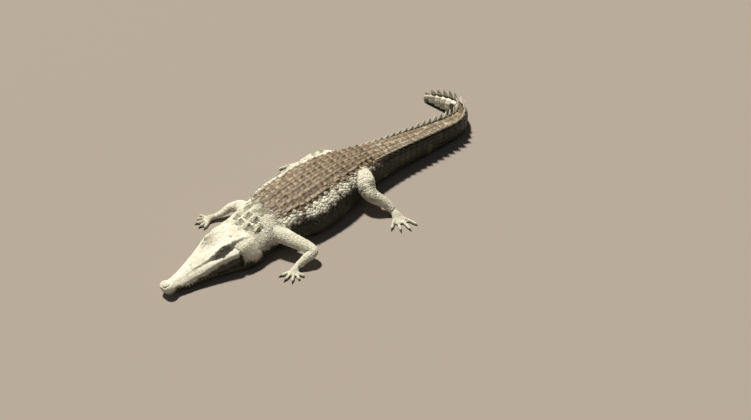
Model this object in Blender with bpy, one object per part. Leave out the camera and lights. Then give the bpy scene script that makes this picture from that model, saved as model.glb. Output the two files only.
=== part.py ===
"""American crocodile basking on its belly, life size, as a still museum model.

The snout points to -X, the animal's left side to -Y, and the floor is z = 0.
Every length is a multiple of the skull's length, HEAD, and is turned into
metres only where points are made. Neck, trunk and tail are one body lofted
along the spine and parted by thin cuts; each leg is a loft from the body to
the ankle, then a foot with its toes and claws.
"""

import math

import bmesh
import bpy
import numpy as np
from mathutils import Vector

HEAD = 0.62  # snout tip to the rear of the skull table, metres
CUT = 0.0006 / HEAD  # the gap left between two neighbouring pieces

# Spine seen from above, from the back of the skull to the tip of the tail.
SPINE = [
    (1.00, 0.005),
    (1.42, 0.005),
    (2.10, -0.015),
    (2.80, -0.070),
    (3.45, -0.175),
    (4.05, -0.275),
    (4.43, -0.305),
    (4.68, -0.165),
    (4.75, 0.080),
    (4.71, 0.460),
]

# Where the body is cut into pieces, as distances behind the skull.
CUTS = {
    "neck": (0.12, 0.36),
    "trunk_front": (0.36, 1.12),
    "trunk_rear": (1.12, 2.02),
    "tail_base": (2.02, 2.62),
    "tail_middle": (2.62, 3.20),
    "tail_rear": (3.20, 3.86),
    "tail_tip": (3.86, 4.45),
}

# Body sections: distance behind the skull, half width, height of the back,
# height of the widest point, half width of the flat that lies on the floor,
# and how square the back is.
BODY = [
    (0.12, 0.354, 0.334, 0.120, 0.290, 2.2),
    (0.24, 0.350, 0.342, 0.130, 0.230, 2.1),
    (0.42, 0.350, 0.362, 0.140, 0.190, 2.2),
    (0.66, 0.420, 0.396, 0.125, 0.280, 2.4),
    (0.92, 0.494, 0.418, 0.108, 0.370, 2.15),
    (1.12, 0.486, 0.428, 0.115, 0.360, 2.3),
    (1.45, 0.425, 0.430, 0.140, 0.290, 2.7),
    (1.80, 0.325, 0.405, 0.150, 0.190, 2.8),
    (2.05, 0.250, 0.380, 0.140, 0.140, 3.0),
    (2.40, 0.195, 0.340, 0.120, 0.110, 3.4),
    (2.90, 0.148, 0.300, 0.110, 0.085, 3.8),
    (3.40, 0.112, 0.262, 0.100, 0.060, 3.8),
    (3.90, 0.080, 0.215, 0.080, 0.036, 2.4),
    (4.26, 0.042, 0.150, 0.065, 0.020, 2.0),
    (4.45, 0.020, 0.095, 0.045, 0.008, 2.0),
]
# Keels of the back and crests of the tail.
BELLY_SQUARENESS = 2.3
SCUTE_LENGTH = 0.088
KEEL_ROWS = (0.22, 0.58)  # as shares of the half width
KEEL_HEIGHT = 0.018
SHIELD = (0.52, 2.00)  # from the shoulders to the hips
WHORL_LENGTH = 0.091  # of the tail's rings of scales
DOUBLE_CREST = (2.02, 3.84)
SINGLE_CREST = (3.84, 4.44)
CLOSING = 3.40  # where the two crests begin to meet
CREST_HEIGHT = 0.100
SINGLE_HEIGHT = 0.160

# Upper part of the head: distance behind the snout tip, then height of the
# midline, ridge (half width, height), cheek (half width, height) and lip
# (half width, height).
SKULL = [
    (0.000, 0.112, 0.020, 0.107, 0.034, 0.098, 0.036, 0.080),
    (0.020, 0.140, 0.040, 0.134, 0.068, 0.110, 0.071, 0.078),
    (0.055, 0.162, 0.050, 0.156, 0.088, 0.118, 0.091, 0.076),
    (0.090, 0.162, 0.048, 0.156, 0.090, 0.118, 0.093, 0.080),
    (0.130, 0.144, 0.038, 0.138, 0.078, 0.112, 0.082, 0.088),
    (0.180, 0.144, 0.040, 0.136, 0.090, 0.112, 0.095, 0.084),
    (0.270, 0.158, 0.050, 0.148, 0.118, 0.114, 0.126, 0.070),
    (0.360, 0.178, 0.058, 0.164, 0.130, 0.128, 0.140, 0.078),
    (0.450, 0.204, 0.064, 0.188, 0.144, 0.150, 0.160, 0.084),
    (0.540, 0.234, 0.074, 0.216, 0.162, 0.176, 0.184, 0.080),
    (0.620, 0.252, 0.086, 0.246, 0.180, 0.198, 0.207, 0.078),
    (0.690, 0.264, 0.098, 0.298, 0.200, 0.214, 0.230, 0.082),
    (0.760, 0.280, 0.108, 0.336, 0.222, 0.228, 0.252, 0.094),
    (0.830, 0.296, 0.118, 0.332, 0.246, 0.238, 0.274, 0.110),
    (0.920, 0.314, 0.134, 0.326, 0.270, 0.244, 0.296, 0.126),
    (1.000, 0.318, 0.142, 0.320, 0.288, 0.242, 0.314, 0.134),
    (1.050, 0.320, 0.150, 0.312, 0.298, 0.236, 0.328, 0.132),
    (1.120, 0.330, 0.160, 0.316, 0.308, 0.225, 0.345, 0.125),
]
# Lower jaw: distance behind the snout tip, half width at its widest, half
# width of its underside, height of the underside.
JAW = [
    (0.012, 0.040, 0.022, 0.050),
    (0.055, 0.080, 0.052, 0.030),
    (0.130, 0.072, 0.050, 0.020),
    (0.270, 0.112, 0.080, 0.010),
    (0.450, 0.148, 0.118, 0.000),
    (0.620, 0.198, 0.170, 0.000),
    (0.760, 0.254, 0.232, 0.000),
    (0.850, 0.294, 0.276, 0.000),
    (0.920, 0.318, 0.298, 0.000),
    (1.050, 0.344, 0.318, 0.000),
    (1.120, 0.354, 0.318, 0.000),
]
SNOUT_LEAN = 0.035
SNOUT_SHARE = 0.97
EYE = {"along": 0.745, "side": 0.130, "height": 0.282, "radius": 0.031}
SKULL_STEPS = (
    0, 0.012, 0.03, 0.055, 0.09, 0.115, 0.135, 0.16, 0.2, 0.24, 0.28, 0.33, 0.39,
    0.45, 0.51, 0.57, 0.62, 0.66, 0.69, 0.72, 0.75, 0.78, 0.81, 0.85, 0.9, 0.95,
    1.0, 1.05,
)

# Legs: points of the bone line (along, aside, height) with the flesh's radii
# across and upright. The first point lies inside the trunk.
LEGS = {
    "foreleg_left": {
        "line": [(1.40, -0.16, 0.20), (1.45, -0.42, 0.19), (1.52, -0.70, 0.14),
                 (1.42, -0.715, 0.10), (1.31, -0.69, 0.052)],
        "radii": [(0.13, 0.11), (0.100, 0.085), (0.075, 0.066), (0.060, 0.052), (0.045, 0.036)],
        "bend": 2,
        "foot": {"heading": 214, "length": 0.090, "width": 0.058},
        "toes": [(162, 0.085), (194, 0.115), (220, 0.125), (246, 0.105), (280, 0.075)],
    },
    "foreleg_right": {
        "line": [(1.43, 0.20, 0.20), (1.47, 0.38, 0.18), (1.43, 0.52, 0.120),
                 (1.34, 0.565, 0.070), (1.265, 0.605, 0.042)],
        "radii": [(0.12, 0.10), (0.092, 0.084), (0.066, 0.060), (0.052, 0.044), (0.044, 0.034)],
        "bend": 2,
        "foot": {"heading": 154, "length": 0.090, "width": 0.058},
        "toes": [(206, 0.085), (184, 0.105), (160, 0.110), (134, 0.105), (106, 0.085)],
    },
    "hindleg_left": {
        "line": [(2.78, -0.14, 0.24), (2.68, -0.38, 0.26), (2.62, -0.54, 0.20),
                 (2.68, -0.69, 0.13), (2.715, -0.80, 0.060)],
        "radii": [(0.17, 0.14), (0.138, 0.120), (0.100, 0.090), (0.078, 0.068), (0.062, 0.046)],
        "bend": 2,
        "foot": {"heading": 243, "length": 0.160, "width": 0.074},
        "toes": [(212, 0.130), (234, 0.175), (253, 0.190), (277, 0.170)],
    },
    "hindleg_right": {
        "line": [(2.78, 0.02, 0.24), (2.66, 0.28, 0.26), (2.54, 0.42, 0.19),
                 (2.62, 0.51, 0.11), (2.645, 0.59, 0.055)],
        "radii": [(0.17, 0.14), (0.135, 0.115), (0.096, 0.085), (0.074, 0.060), (0.056, 0.042)],
        "bend": 2,
        "foot": {"heading": 174, "length": 0.160, "width": 0.072},
        "toes": [(202, 0.130), (186, 0.170), (173, 0.180), (160, 0.150)],
    },
}
CLAWED_TOES = 3  # the inner three toes of every foot carry a claw
TOE_RADIUS = 0.0205
CLAW_LENGTH = 0.046
CLAW_RADIUS = 0.0120
LIMB_SIDES = 12
LIMB_RINGS = 12
TOE_SIDES = 7


def smooth_between(stations, at):
    """Values of a table at a place, on a monotone cubic through its rows."""
    rows = np.array(stations, float)
    x, values = rows[:, 0], rows[:, 1:]
    at = min(max(at, x[0]), x[-1])
    slopes = np.diff(values, axis=0) / np.diff(x)[:, None]
    tangents = np.zeros_like(values)
    tangents[0], tangents[-1] = slopes[0], slopes[-1]
    before, after = slopes[:-1], slopes[1:]
    same_way = before * after > 0
    mean = 2 * before * after / np.where(same_way, before + after, 1)
    tangents[1:-1] = np.where(same_way, mean, 0)
    i = min(int(np.searchsorted(x, at, side="right")) - 1, len(x) - 2)
    h = x[i + 1] - x[i]
    t = (at - x[i]) / h
    return (
        values[i] * (1 + 2 * t) * (1 - t) ** 2
        + values[i + 1] * t * t * (3 - 2 * t)
        + tangents[i] * h * t * (1 - t) ** 2
        + tangents[i + 1] * h * t * t * (t - 1)
    )


def curve_through(points, steps=24):
    """Points of a Catmull-Rom curve through the given ones."""
    p = np.array(points, float)
    p = np.vstack([2 * p[0] - p[1], p, 2 * p[-1] - p[-2]])
    made = []
    for i in range(1, len(p) - 2):
        for t in np.arange(steps) / steps:
            a, b, c, d = p[i - 1 : i + 3]
            made.append(
                0.5 * (2 * b + (c - a) * t + (2 * a - 5 * b + 4 * c - d) * t**2
                       + (3 * b - a - 3 * c + d) * t**3)
            )
    made.append(p[-2])
    return np.array(made)


class Path:
    """A curve that is asked for its points and headings by length."""

    def __init__(self, points):
        self.points = curve_through(points)
        steps = np.linalg.norm(np.diff(self.points, axis=0), axis=1)
        self.lengths = np.concatenate([[0], np.cumsum(steps)])
        self.total = self.lengths[-1]

    def point(self, length):
        return np.array([np.interp(length, self.lengths, c) for c in self.points.T])

    def direction(self, length, reach=0.04):
        length = min(max(length, 0.0), self.total)
        step = self.point(length + reach) - self.point(length - reach)
        return step / np.linalg.norm(step)


SPINE_PATH = Path(SPINE)


def material(name, colour, roughness):
    made = bpy.data.materials.new(name)
    made.use_nodes = True
    shader = made.node_tree.nodes["Principled BSDF"]
    shader.inputs["Base Color"].default_value = (*colour, 1)
    shader.inputs["Roughness"].default_value = roughness
    shader.inputs["Metallic"].default_value = 0
    return made


def add_object(name, mesh, finish):
    made = bpy.data.objects.new(name, mesh)
    mesh.materials.append(finish)
    bpy.context.scene.collection.objects.link(made)
    mesh.shade_smooth()
    mesh.set_sharp_from_angle(angle=math.radians(35))
    return made


def loft(name, rings, finish):
    """A closed body through rings of points, given in head lengths."""
    bm = bmesh.new()
    made = []
    for ring in rings:
        made.append([bm.verts.new(Vector(p) * HEAD) for p in ring])
    for first, second in zip(made, made[1:]):
        count = len(first)
        for i in range(count):
            j = (i + 1) % count
            bm.faces.new((first[i], first[j], second[j]))
            bm.faces.new((first[i], second[j], second[i]))
    bm.faces.new(list(reversed(made[0])))
    bm.faces.new(made[-1])
    bmesh.ops.recalc_face_normals(bm, faces=bm.faces)
    mesh = bpy.data.meshes.new(name)
    bm.to_mesh(mesh)
    bm.free()
    return add_object(name, mesh, finish)


def power(value, exponent):
    return math.copysign(abs(value) ** exponent, value)


def body_outline(distance, grow=0.0):
    """Half of a body section, from the midline of the back to the belly's."""
    half, top, widest, flat, square = smooth_between(BODY, distance)
    bump = relief(distance)
    points = []
    for share, lift, spread in bump:
        z = widest + (top - widest) * (1 - share**square) ** (1 / square)
        points.append((half * share + spread, z + lift))
    points[-1] = (half, widest)
    for step in (0.36, 0.72, 1.0):
        angle = step * math.pi / 2
        side = flat + (half - flat) * power(math.cos(angle), 2 / BELLY_SQUARENESS)
        z = widest * (1 - power(math.sin(angle), 2 / BELLY_SQUARENESS))
        points.append((side, max(z, 0.0)))
    points.append((0.0, 0.0))
    if grow:
        points = [(x + grow * (x > 0), z + grow * math.copysign(1, z - 1e-6)) for x, z in points]
    return points


def saw(distance, start, length):
    """Height of a scute's keel along it: it rises slowly and ends steeply."""
    place = ((distance - start) / length) % 1.0
    return place / 0.8 if place < 0.8 else (1 - place) / 0.2


def relief(distance):
    """Share of the half width, lift and spread of each point of the back."""
    shares = [0.0, 0.22, 0.40, 0.58, 0.78, 0.93, 1.0]
    lifts = [0.0] * 7
    if SHIELD[0] < distance < SHIELD[1]:
        height = KEEL_HEIGHT * saw(distance, SHIELD[0], SCUTE_LENGTH)
        lifts[1] = lifts[3] = height
        lifts[2] = lifts[0] = -0.15 * KEEL_HEIGHT
    if DOUBLE_CREST[0] <= distance < DOUBLE_CREST[1]:
        grown = min((distance - DOUBLE_CREST[0]) / 1.2, 1.0)
        height = (0.25 + 0.75 * grown) * CREST_HEIGHT * saw(distance, DOUBLE_CREST[0], WHORL_LENGTH)
        closing = max(0.0, (distance - CLOSING) / (DOUBLE_CREST[1] - CLOSING))
        row = 0.68 - 0.48 * closing
        shares = [0.0, row - 0.14, row, row + 0.10, 0.5 * row + 0.48, 0.94, 1.0]
        lifts = [0.0, 0.0, height, 0.0, 0.0, 0.0, 0.0]
        return list(zip(shares, lifts, [0, 0, 0.15 * height, 0, 0, 0, 0]))
    if SINGLE_CREST[0] <= distance < SINGLE_CREST[1]:
        lower = (distance - SINGLE_CREST[0]) / (SINGLE_CREST[1] - SINGLE_CREST[0])
        fade = min((SINGLE_CREST[1] - distance) / 0.12, 1.0) * (1 - 0.5 * lower)
        height = SINGLE_HEIGHT * (0.45 + 0.55 * saw(distance, DOUBLE_CREST[0], WHORL_LENGTH)) * fade
        shares = [0.0, 0.16, 0.34, 0.56, 0.78, 0.93, 1.0]
        lifts[0] = height
    return list(zip(shares, lifts, [0] * 7))


def body_ring(distance, grow=0.0):
    """The whole section, set upright across the spine."""
    x, y = SPINE_PATH.point(distance)
    along = SPINE_PATH.direction(distance)
    left = np.array([along[1], -along[0]])
    half = body_outline(distance, grow)
    right_side = [(x - left[0] * a, y - left[1] * a, z) for a, z in half]
    left_side = [(x + left[0] * a, y + left[1] * a, z) for a, z in half[1:-1]]
    return right_side + left_side[::-1]


def body_steps(start, end):
    """Stations of a piece: where keels rise and fall, and evenly elsewhere."""
    steps = {start, end}
    spans = [(SHIELD, SCUTE_LENGTH), ((DOUBLE_CREST[0], SINGLE_CREST[1]), WHORL_LENGTH)]
    for (low, high), length in spans:
        count = int((high - low) / length)
        for i in range(count + 1):
            steps |= {low + length * i, low + length * (i + 0.8)}
    for i in range(6):
        steps.add(0.12 + 0.08 * i)
    inside = sorted(s for s in steps if start <= s <= end)
    kept = [inside[0]]
    for s in inside[1:-1]:
        if s - kept[-1] > 0.012 and end - s > 0.012:
            kept.append(s)
    return kept + [end]


def body_piece(name, finish):
    start, end = CUTS[name]
    rings = [body_ring(s + (CUT if s == start else 0)) for s in body_steps(start, end)]
    return loft(name, rings, finish)


def head_point(along, aside, height):
    """A place on the head, whose snout leans a little to the animal's right."""
    back = 1 - (1 - along) * SNOUT_SHARE
    return (back, SPINE[0][1] + aside + SNOUT_LEAN * (0.85 - along), height)


def skull_ring(along):
    mid, ridge, ridge_z, cheek, cheek_z, lip, lip_z = smooth_between(SKULL, along)
    key = [(0.0, mid), (ridge, ridge_z), (cheek, cheek_z), (lip, lip_z)]
    blend = lambda a, b, t, bow: (
        a[0] + (b[0] - a[0]) * t,
        a[1] + (b[1] - a[1]) * t + bow * math.sin(math.pi * t),
    )
    side = [
        key[0],
        blend(key[0], key[1], 0.5, 0.0),
        key[1],
        blend(key[1], key[2], 0.35, 0.10 * (ridge_z - cheek_z)),
        blend(key[1], key[2], 0.70, 0.16 * (ridge_z - cheek_z)),
        key[2],
        blend(key[2], key[3], 0.6, 0.0),
        key[3],
    ]
    right = [head_point(along, a, z) for a, z in side]
    left = [head_point(along, -a, z) for a, z in side[1:]]
    return right + left[::-1]


def jaw_ring(along):
    lip, lip_z = smooth_between(SKULL, along)[5:]
    half, floor, low = smooth_between(JAW, along)
    top = lip_z - CUT
    edge = min(half, lip)
    side = [(0.0, top), (edge * 0.6, top), (edge, top), (half, low + (top - low) * 0.55)]
    side += [(floor + (half - floor) * 0.7, low + (top - low) * 0.18), (floor, low), (0.0, low)]
    right = [head_point(along, a, z) for a, z in side]
    left = [head_point(along, -a, z) for a, z in side[1:-1]]
    return right + left[::-1]


def make_head(finish):
    rear = CUTS["neck"][0] + 1.0 - CUT
    steps = [*SKULL_STEPS, rear]
    skull = loft("head", [skull_ring(s) for s in steps], finish)
    jaw_steps = [s for s in steps if s >= SKULL_STEPS[1]]
    loft("lower_jaw", [jaw_ring(s) for s in jaw_steps], finish)
    return skull


def ball(name, centre, radius, finish, hidden=False):
    mesh = bpy.data.meshes.new(name)
    bm = bmesh.new()
    bmesh.ops.create_uvsphere(bm, u_segments=14, v_segments=8, radius=radius * HEAD)
    bm.to_mesh(mesh)
    bm.free()
    made = add_object(name, mesh, finish)
    made.location = Vector(centre) * HEAD
    if hidden:
        hide(made)
    return made


def hide(cutter):
    cutter.hide_render = True
    cutter.display_type = "WIRE"


def cut_away(target, cutter):
    modifier = target.modifiers.new(f"less {cutter.name}", "BOOLEAN")
    modifier.operation = "DIFFERENCE"
    modifier.object = cutter


def make_eyes(skull, finish):
    for side, sign in (("left", -1), ("right", 1)):
        centre = head_point(EYE["along"], sign * EYE["side"], EYE["height"])
        ball(f"eye_{side}", centre, EYE["radius"], finish)
        socket = ball(f"socket_{side}", centre, EYE["radius"] + CUT, finish, hidden=True)
        cut_away(skull, socket)


def limb_rings(leg):
    """Rings of a leg from inside the trunk to the ankle."""
    path = Path(leg["line"])
    marks = [path.lengths[i * 24] for i in range(len(leg["line"]))]
    table = [(m, *r) for m, r in zip(marks, leg["radii"])]
    rings, places, planes = [], [], []
    for length in np.linspace(0, path.total, LIMB_RINGS):
        centre = path.point(length)
        along = path.direction(length)
        across = np.cross(along, (0, 0, 1.0))
        across /= np.linalg.norm(across)
        upright = np.cross(across, along)
        wide, high = smooth_between(table, length)
        ring = []
        for i in range(LIMB_SIDES):
            angle = 2 * math.pi * i / LIMB_SIDES
            p = centre + across * wide * math.cos(angle) + upright * high * math.sin(angle)
            ring.append((p[0], p[1], max(p[2], 0.0)))
        rings.append(ring)
        places.append(length)
        planes.append((centre, along))
    bend = marks[leg["bend"]]
    split = int(np.argmin(abs(np.array(places) - bend)))
    for i in range(split + 1, len(rings)):
        rings[i] = kept_ahead(rings[i], *planes[i - 1])
    for i in range(split - 1, -1, -1):
        rings[i] = kept_ahead(rings[i], planes[i + 1][0], -planes[i + 1][1])
    return rings, split, path


def kept_ahead(ring, centre, along, least=0.004):
    """Moves the points of a ring that lie behind its neighbour's plane."""
    kept = []
    for p in ring:
        ahead = np.dot(np.array(p) - centre, along)
        moved = np.array(p) + along * max(least - ahead, 0.0)
        kept.append((moved[0], moved[1], max(moved[2], 0.0)))
    return kept


def shifted(ring, direction, distance):
    return [tuple(np.array(p) + np.array(direction) * distance) for p in ring]


def toe(name, start, heading, length, finish):
    """A toe lying on the floor, its end cut square where a claw meets it."""
    out = np.array([math.cos(math.radians(heading)), math.sin(math.radians(heading)), 0])
    side = np.array([-out[1], out[0], 0])
    rings = []
    for share, size in ((-0.35, 1.1), (0.15, 1.05), (0.45, 0.88), (0.72, 0.92), (1.0, 0.70)):
        radius = TOE_RADIUS * size
        centre = start + out * length * share
        ring = []
        for i in range(TOE_SIDES):
            angle = 2 * math.pi * (i + 0.25) / TOE_SIDES
            p = centre + side * radius * math.cos(angle)
            ring.append((p[0], p[1], max(radius * (0.85 + math.sin(angle)), 0.0)))
        rings.append(ring)
    made = loft(name, rings, finish)
    hide(made)
    return made, start + out * length, out


def claw(name, start, out, finish):
    """A claw that curves down to the floor, its base clear of the toe."""
    side = np.array([-out[1], out[0], 0])
    rings = []
    for share, size, drop in ((0, 1.0, 0), (0.35, 0.82, 0.0010), (0.7, 0.52, 0.0040), (1, 0.12, 0.0085)):
        radius = CLAW_RADIUS * size
        centre = start + out * (CUT + CLAW_LENGTH * share)
        middle = TOE_RADIUS * 0.62 - drop
        ring = []
        for i in range(6):
            angle = 2 * math.pi * (i + 0.5) / 6
            p = centre + side * radius * 0.8 * math.cos(angle)
            ring.append((p[0], p[1], max(middle + radius * math.sin(angle), 0.0)))
        rings.append(ring)
    return loft(name, rings, finish)


def make_foot(name, leg, ankle, path, skin, horn):
    """Palm and toes joined, with the ankle's ring as the palm's first."""
    foot = leg["foot"]
    heading = math.radians(foot["heading"])
    out = np.array([math.cos(heading), math.sin(heading), 0.0])
    start = path.point(path.total)
    along = path.direction(path.total)
    swing = np.array([along[0], along[1], 0.0]) * foot["width"] * 0.6
    rings = [shifted(ankle, along, CUT)]
    plane = (start, along)
    for share, wide, high in ((0.25, 0.72, 0.042), (0.6, 1.0, 0.031), (1.0, 0.94, 0.022)):
        centre = start + out * foot["length"] * share + swing * (1 - (1 - share) ** 2)
        turn = min(share * 1.6, 1.0)
        facing = along * (1 - turn) + out * turn
        facing[2] = 0
        facing /= np.linalg.norm(facing)
        across = np.cross(facing, (0, 0, 1.0))
        ring = []
        for i in range(LIMB_SIDES):
            angle = 2 * math.pi * i / LIMB_SIDES
            p = centre + across * foot["width"] * wide * math.cos(angle)
            ring.append((p[0], p[1], max(high * (0.9 + math.sin(angle)), 0.0)))
        rings.append(kept_ahead(ring, *plane))
        plane = (centre, facing)
    palm = loft(name, rings, skin)
    knuckles = start + out * foot["length"] * 0.78 + swing
    knuckles[2] = 0
    side = np.cross(out, (0, 0, 1.0))
    count = len(leg["toes"])
    for i, (toe_heading, length) in enumerate(leg["toes"]):
        spread = (i / (count - 1) - 0.5) * 1.75 * foot["width"]
        turn = 1 if leg["toes"][0][0] < leg["toes"][-1][0] else -1
        root = knuckles - side * spread * turn
        clawed = i < CLAWED_TOES
        piece, tip, facing = toe(f"{name}_toe_{i + 1}", root, toe_heading, length, skin)
        joined = palm.modifiers.new(f"toe {i + 1}", "BOOLEAN")
        joined.operation = "UNION"
        joined.object = piece
        if clawed:
            claw(f"{name}_claw_{i + 1}", tip, facing, horn)


def make_leg(name, leg, cutter, skin, horn):
    rings, split, path = limb_rings(leg)
    upper = loft(f"{name}_upper", rings[: split + 1], skin)
    cut_away(upper, cutter)
    along = path.direction(path.total * split / (len(rings) - 1))
    lower = [shifted(rings[split], along, CUT), *rings[split + 1 :]]
    cut_away(loft(f"{name}_lower", lower, skin), cutter)
    make_foot(f"{name}_foot", leg, rings[-1], path, skin, horn)


def centre_on_floor():
    """Moves every piece, so that the origin is under the middle of them all."""
    graph = bpy.context.evaluated_depsgraph_get()
    shown = [made for made in bpy.data.objects if not made.hide_render]
    corners = [
        made.matrix_world @ Vector(c) for made in shown for c in made.evaluated_get(graph).bound_box
    ]
    for axis in (0, 1):
        low = min(c[axis] for c in corners)
        high = max(c[axis] for c in corners)
        for made in bpy.data.objects:
            made.location[axis] -= (low + high) / 2


def main():
    for old in list(bpy.data.objects):
        bpy.data.objects.remove(old)
    back = material("scaled hide of the back", (0.36, 0.30, 0.21), 0.75)
    pale = material("mud-pale hide of head and legs", (0.74, 0.70, 0.55), 0.8)
    horn = material("claw horn", (0.13, 0.11, 0.09), 0.45)
    wet = material("eye", (0.25, 0.22, 0.08), 0.1)
    for name in CUTS:
        body_piece(name, back)
    skull = make_head(pale)
    make_eyes(skull, wet)
    beside_legs = ("neck", "trunk_front", "trunk_rear", "tail_base")
    steps = sorted({s for name in beside_legs for s in body_steps(*CUTS[name])})
    cutter = loft("body_cutter", [body_ring(s, CUT * 1.4) for s in steps], back)
    hide(cutter)
    for name, leg in LEGS.items():
        make_leg(name, leg, cutter, pale, horn)
    bpy.context.view_layer.update()
    centre_on_floor()


main()
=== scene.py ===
import math

import bmesh
import bpy
import numpy as np
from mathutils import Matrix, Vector, noise
from mathutils.bvhtree import BVHTree
from mathutils.kdtree import KDTree


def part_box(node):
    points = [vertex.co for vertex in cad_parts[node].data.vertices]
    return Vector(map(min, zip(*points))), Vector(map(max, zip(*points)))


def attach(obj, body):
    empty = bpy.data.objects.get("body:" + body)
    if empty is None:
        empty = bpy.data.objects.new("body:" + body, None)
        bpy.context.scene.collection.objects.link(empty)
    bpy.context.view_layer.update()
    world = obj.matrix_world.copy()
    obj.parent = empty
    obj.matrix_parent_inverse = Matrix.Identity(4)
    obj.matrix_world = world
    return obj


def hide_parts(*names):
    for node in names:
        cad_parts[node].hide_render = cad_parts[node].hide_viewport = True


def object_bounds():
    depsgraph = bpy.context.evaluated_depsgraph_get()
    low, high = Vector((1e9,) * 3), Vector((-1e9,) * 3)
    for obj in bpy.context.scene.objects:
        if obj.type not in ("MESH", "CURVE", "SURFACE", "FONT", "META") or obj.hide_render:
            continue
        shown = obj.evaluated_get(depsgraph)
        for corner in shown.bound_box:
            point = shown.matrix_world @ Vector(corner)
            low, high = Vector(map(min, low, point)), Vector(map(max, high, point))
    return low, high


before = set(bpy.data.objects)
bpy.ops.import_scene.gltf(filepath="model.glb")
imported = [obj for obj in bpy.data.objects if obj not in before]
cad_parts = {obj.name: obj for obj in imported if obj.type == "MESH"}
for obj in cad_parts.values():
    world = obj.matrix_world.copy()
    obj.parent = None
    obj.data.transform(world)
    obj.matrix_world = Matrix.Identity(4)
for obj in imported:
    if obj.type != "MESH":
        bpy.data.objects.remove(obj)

# A basking crocodile, life size. Lengths in the tables are shares of the head's length,
# as in the solids; lengths that end in Mm are millimetres; everything else is metres.
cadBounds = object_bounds()
dice = np.random.default_rng(7)

headLength = 0.62
coatDepth = 0.0045  # how far the skin lies inside the solids, which the scales fill
skinInset = coatDepth / headLength

bodyShape = {
    "spine": [(1.00, 0.005), (1.42, 0.005), (2.10, -0.015), (2.80, -0.070), (3.45, -0.175),
              (4.05, -0.275), (4.43, -0.305), (4.68, -0.165), (4.75, 0.080), (4.71, 0.460)],
    # distance behind the skull, half width, height of the back, height of the widest
    # point, half width of the flat on the floor, squareness of the back
    "sections": [
        (0.02, 0.330, 0.318, 0.120, 0.290, 2.2),
        (0.12, 0.350, 0.328, 0.120, 0.290, 2.2),
        (0.24, 0.346, 0.338, 0.130, 0.230, 2.1),
        (0.42, 0.350, 0.362, 0.140, 0.190, 2.2),
        (0.66, 0.420, 0.396, 0.125, 0.280, 2.4),
        (0.92, 0.494, 0.418, 0.108, 0.370, 2.15),
        (1.12, 0.486, 0.428, 0.115, 0.360, 2.3),
        (1.45, 0.425, 0.430, 0.140, 0.290, 2.7),
        (1.80, 0.325, 0.405, 0.150, 0.190, 2.8),
        (2.05, 0.250, 0.380, 0.140, 0.140, 3.0),
        (2.40, 0.195, 0.340, 0.120, 0.110, 3.4),
        (2.90, 0.148, 0.300, 0.110, 0.085, 3.8),
        (3.40, 0.112, 0.262, 0.100, 0.060, 3.8),
        (3.90, 0.080, 0.215, 0.080, 0.036, 2.4),
        (4.26, 0.042, 0.150, 0.065, 0.020, 2.0),
        (4.44, 0.020, 0.095, 0.045, 0.008, 2.0),
    ],
    "bellySquareness": 2.3,
    "rounding": 0.13,
    "from": 0.03, "to": 4.440, "step": 0.008,
    "round": 192,
}

headShape = {
    # distance behind the snout tip, height of the midline, ridge (half width, height),
    # cheek (half width, height), lip (half width, height)
    "skull": [
        (0.000, 0.112, 0.020, 0.107, 0.034, 0.098, 0.036, 0.080),
        (0.020, 0.140, 0.040, 0.134, 0.068, 0.110, 0.071, 0.078),
        (0.055, 0.162, 0.050, 0.156, 0.088, 0.118, 0.091, 0.076),
        (0.090, 0.162, 0.048, 0.156, 0.090, 0.118, 0.093, 0.080),
        (0.130, 0.144, 0.038, 0.138, 0.078, 0.112, 0.082, 0.088),
        (0.180, 0.144, 0.038, 0.138, 0.082, 0.114, 0.095, 0.084),
        (0.270, 0.158, 0.046, 0.150, 0.104, 0.118, 0.126, 0.072),
        (0.360, 0.178, 0.054, 0.168, 0.122, 0.132, 0.140, 0.080),
        (0.450, 0.204, 0.064, 0.188, 0.144, 0.150, 0.160, 0.084),
        (0.540, 0.234, 0.074, 0.216, 0.162, 0.176, 0.184, 0.080),
        (0.620, 0.252, 0.086, 0.246, 0.180, 0.198, 0.207, 0.078),
        (0.690, 0.262, 0.098, 0.296, 0.200, 0.214, 0.230, 0.082),
        (0.760, 0.276, 0.108, 0.334, 0.222, 0.228, 0.252, 0.094),
        (0.830, 0.294, 0.118, 0.330, 0.246, 0.238, 0.274, 0.110),
        (0.880, 0.306, 0.128, 0.326, 0.252, 0.242, 0.284, 0.118),
        (0.920, 0.312, 0.134, 0.324, 0.244, 0.256, 0.310, 0.140),
        (1.000, 0.316, 0.142, 0.320, 0.246, 0.260, 0.326, 0.142),
        (1.060, 0.316, 0.150, 0.314, 0.252, 0.258, 0.334, 0.138),
        (1.120, 0.306, 0.156, 0.300, 0.256, 0.246, 0.338, 0.130),
    ],
    # distance behind the snout tip, half width, half width and height of the underside
    "jaw": [
        (0.000, 0.030, 0.014, 0.062),
        (0.012, 0.040, 0.022, 0.050),
        (0.055, 0.080, 0.052, 0.030),
        (0.130, 0.072, 0.050, 0.020),
        (0.270, 0.112, 0.080, 0.010),
        (0.450, 0.148, 0.118, 0.000),
        (0.620, 0.198, 0.170, 0.000),
        (0.760, 0.254, 0.232, 0.000),
        (0.850, 0.294, 0.276, 0.000),
        (0.920, 0.318, 0.298, 0.000),
        (1.050, 0.344, 0.318, 0.000),
        (1.120, 0.354, 0.318, 0.000),
    ],
    # how hollow the face is between brow and cheek
    "hollow": [(0.0, 0.0), (0.5, 0.0), (0.62, 0.7), (0.70, 1.0), (0.84, 1.0), (0.98, 0.5), (1.12, 0.0)],
    "lean": 0.035,  # the snout turns a little to the animal's right
    "leanFrom": 0.85,
    "snoutShare": 0.97,
    "mouthCorner": 0.885,
    "from": 0.0085, "to": 1.13, "step": 0.005,
    "round": 224,
}

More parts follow.
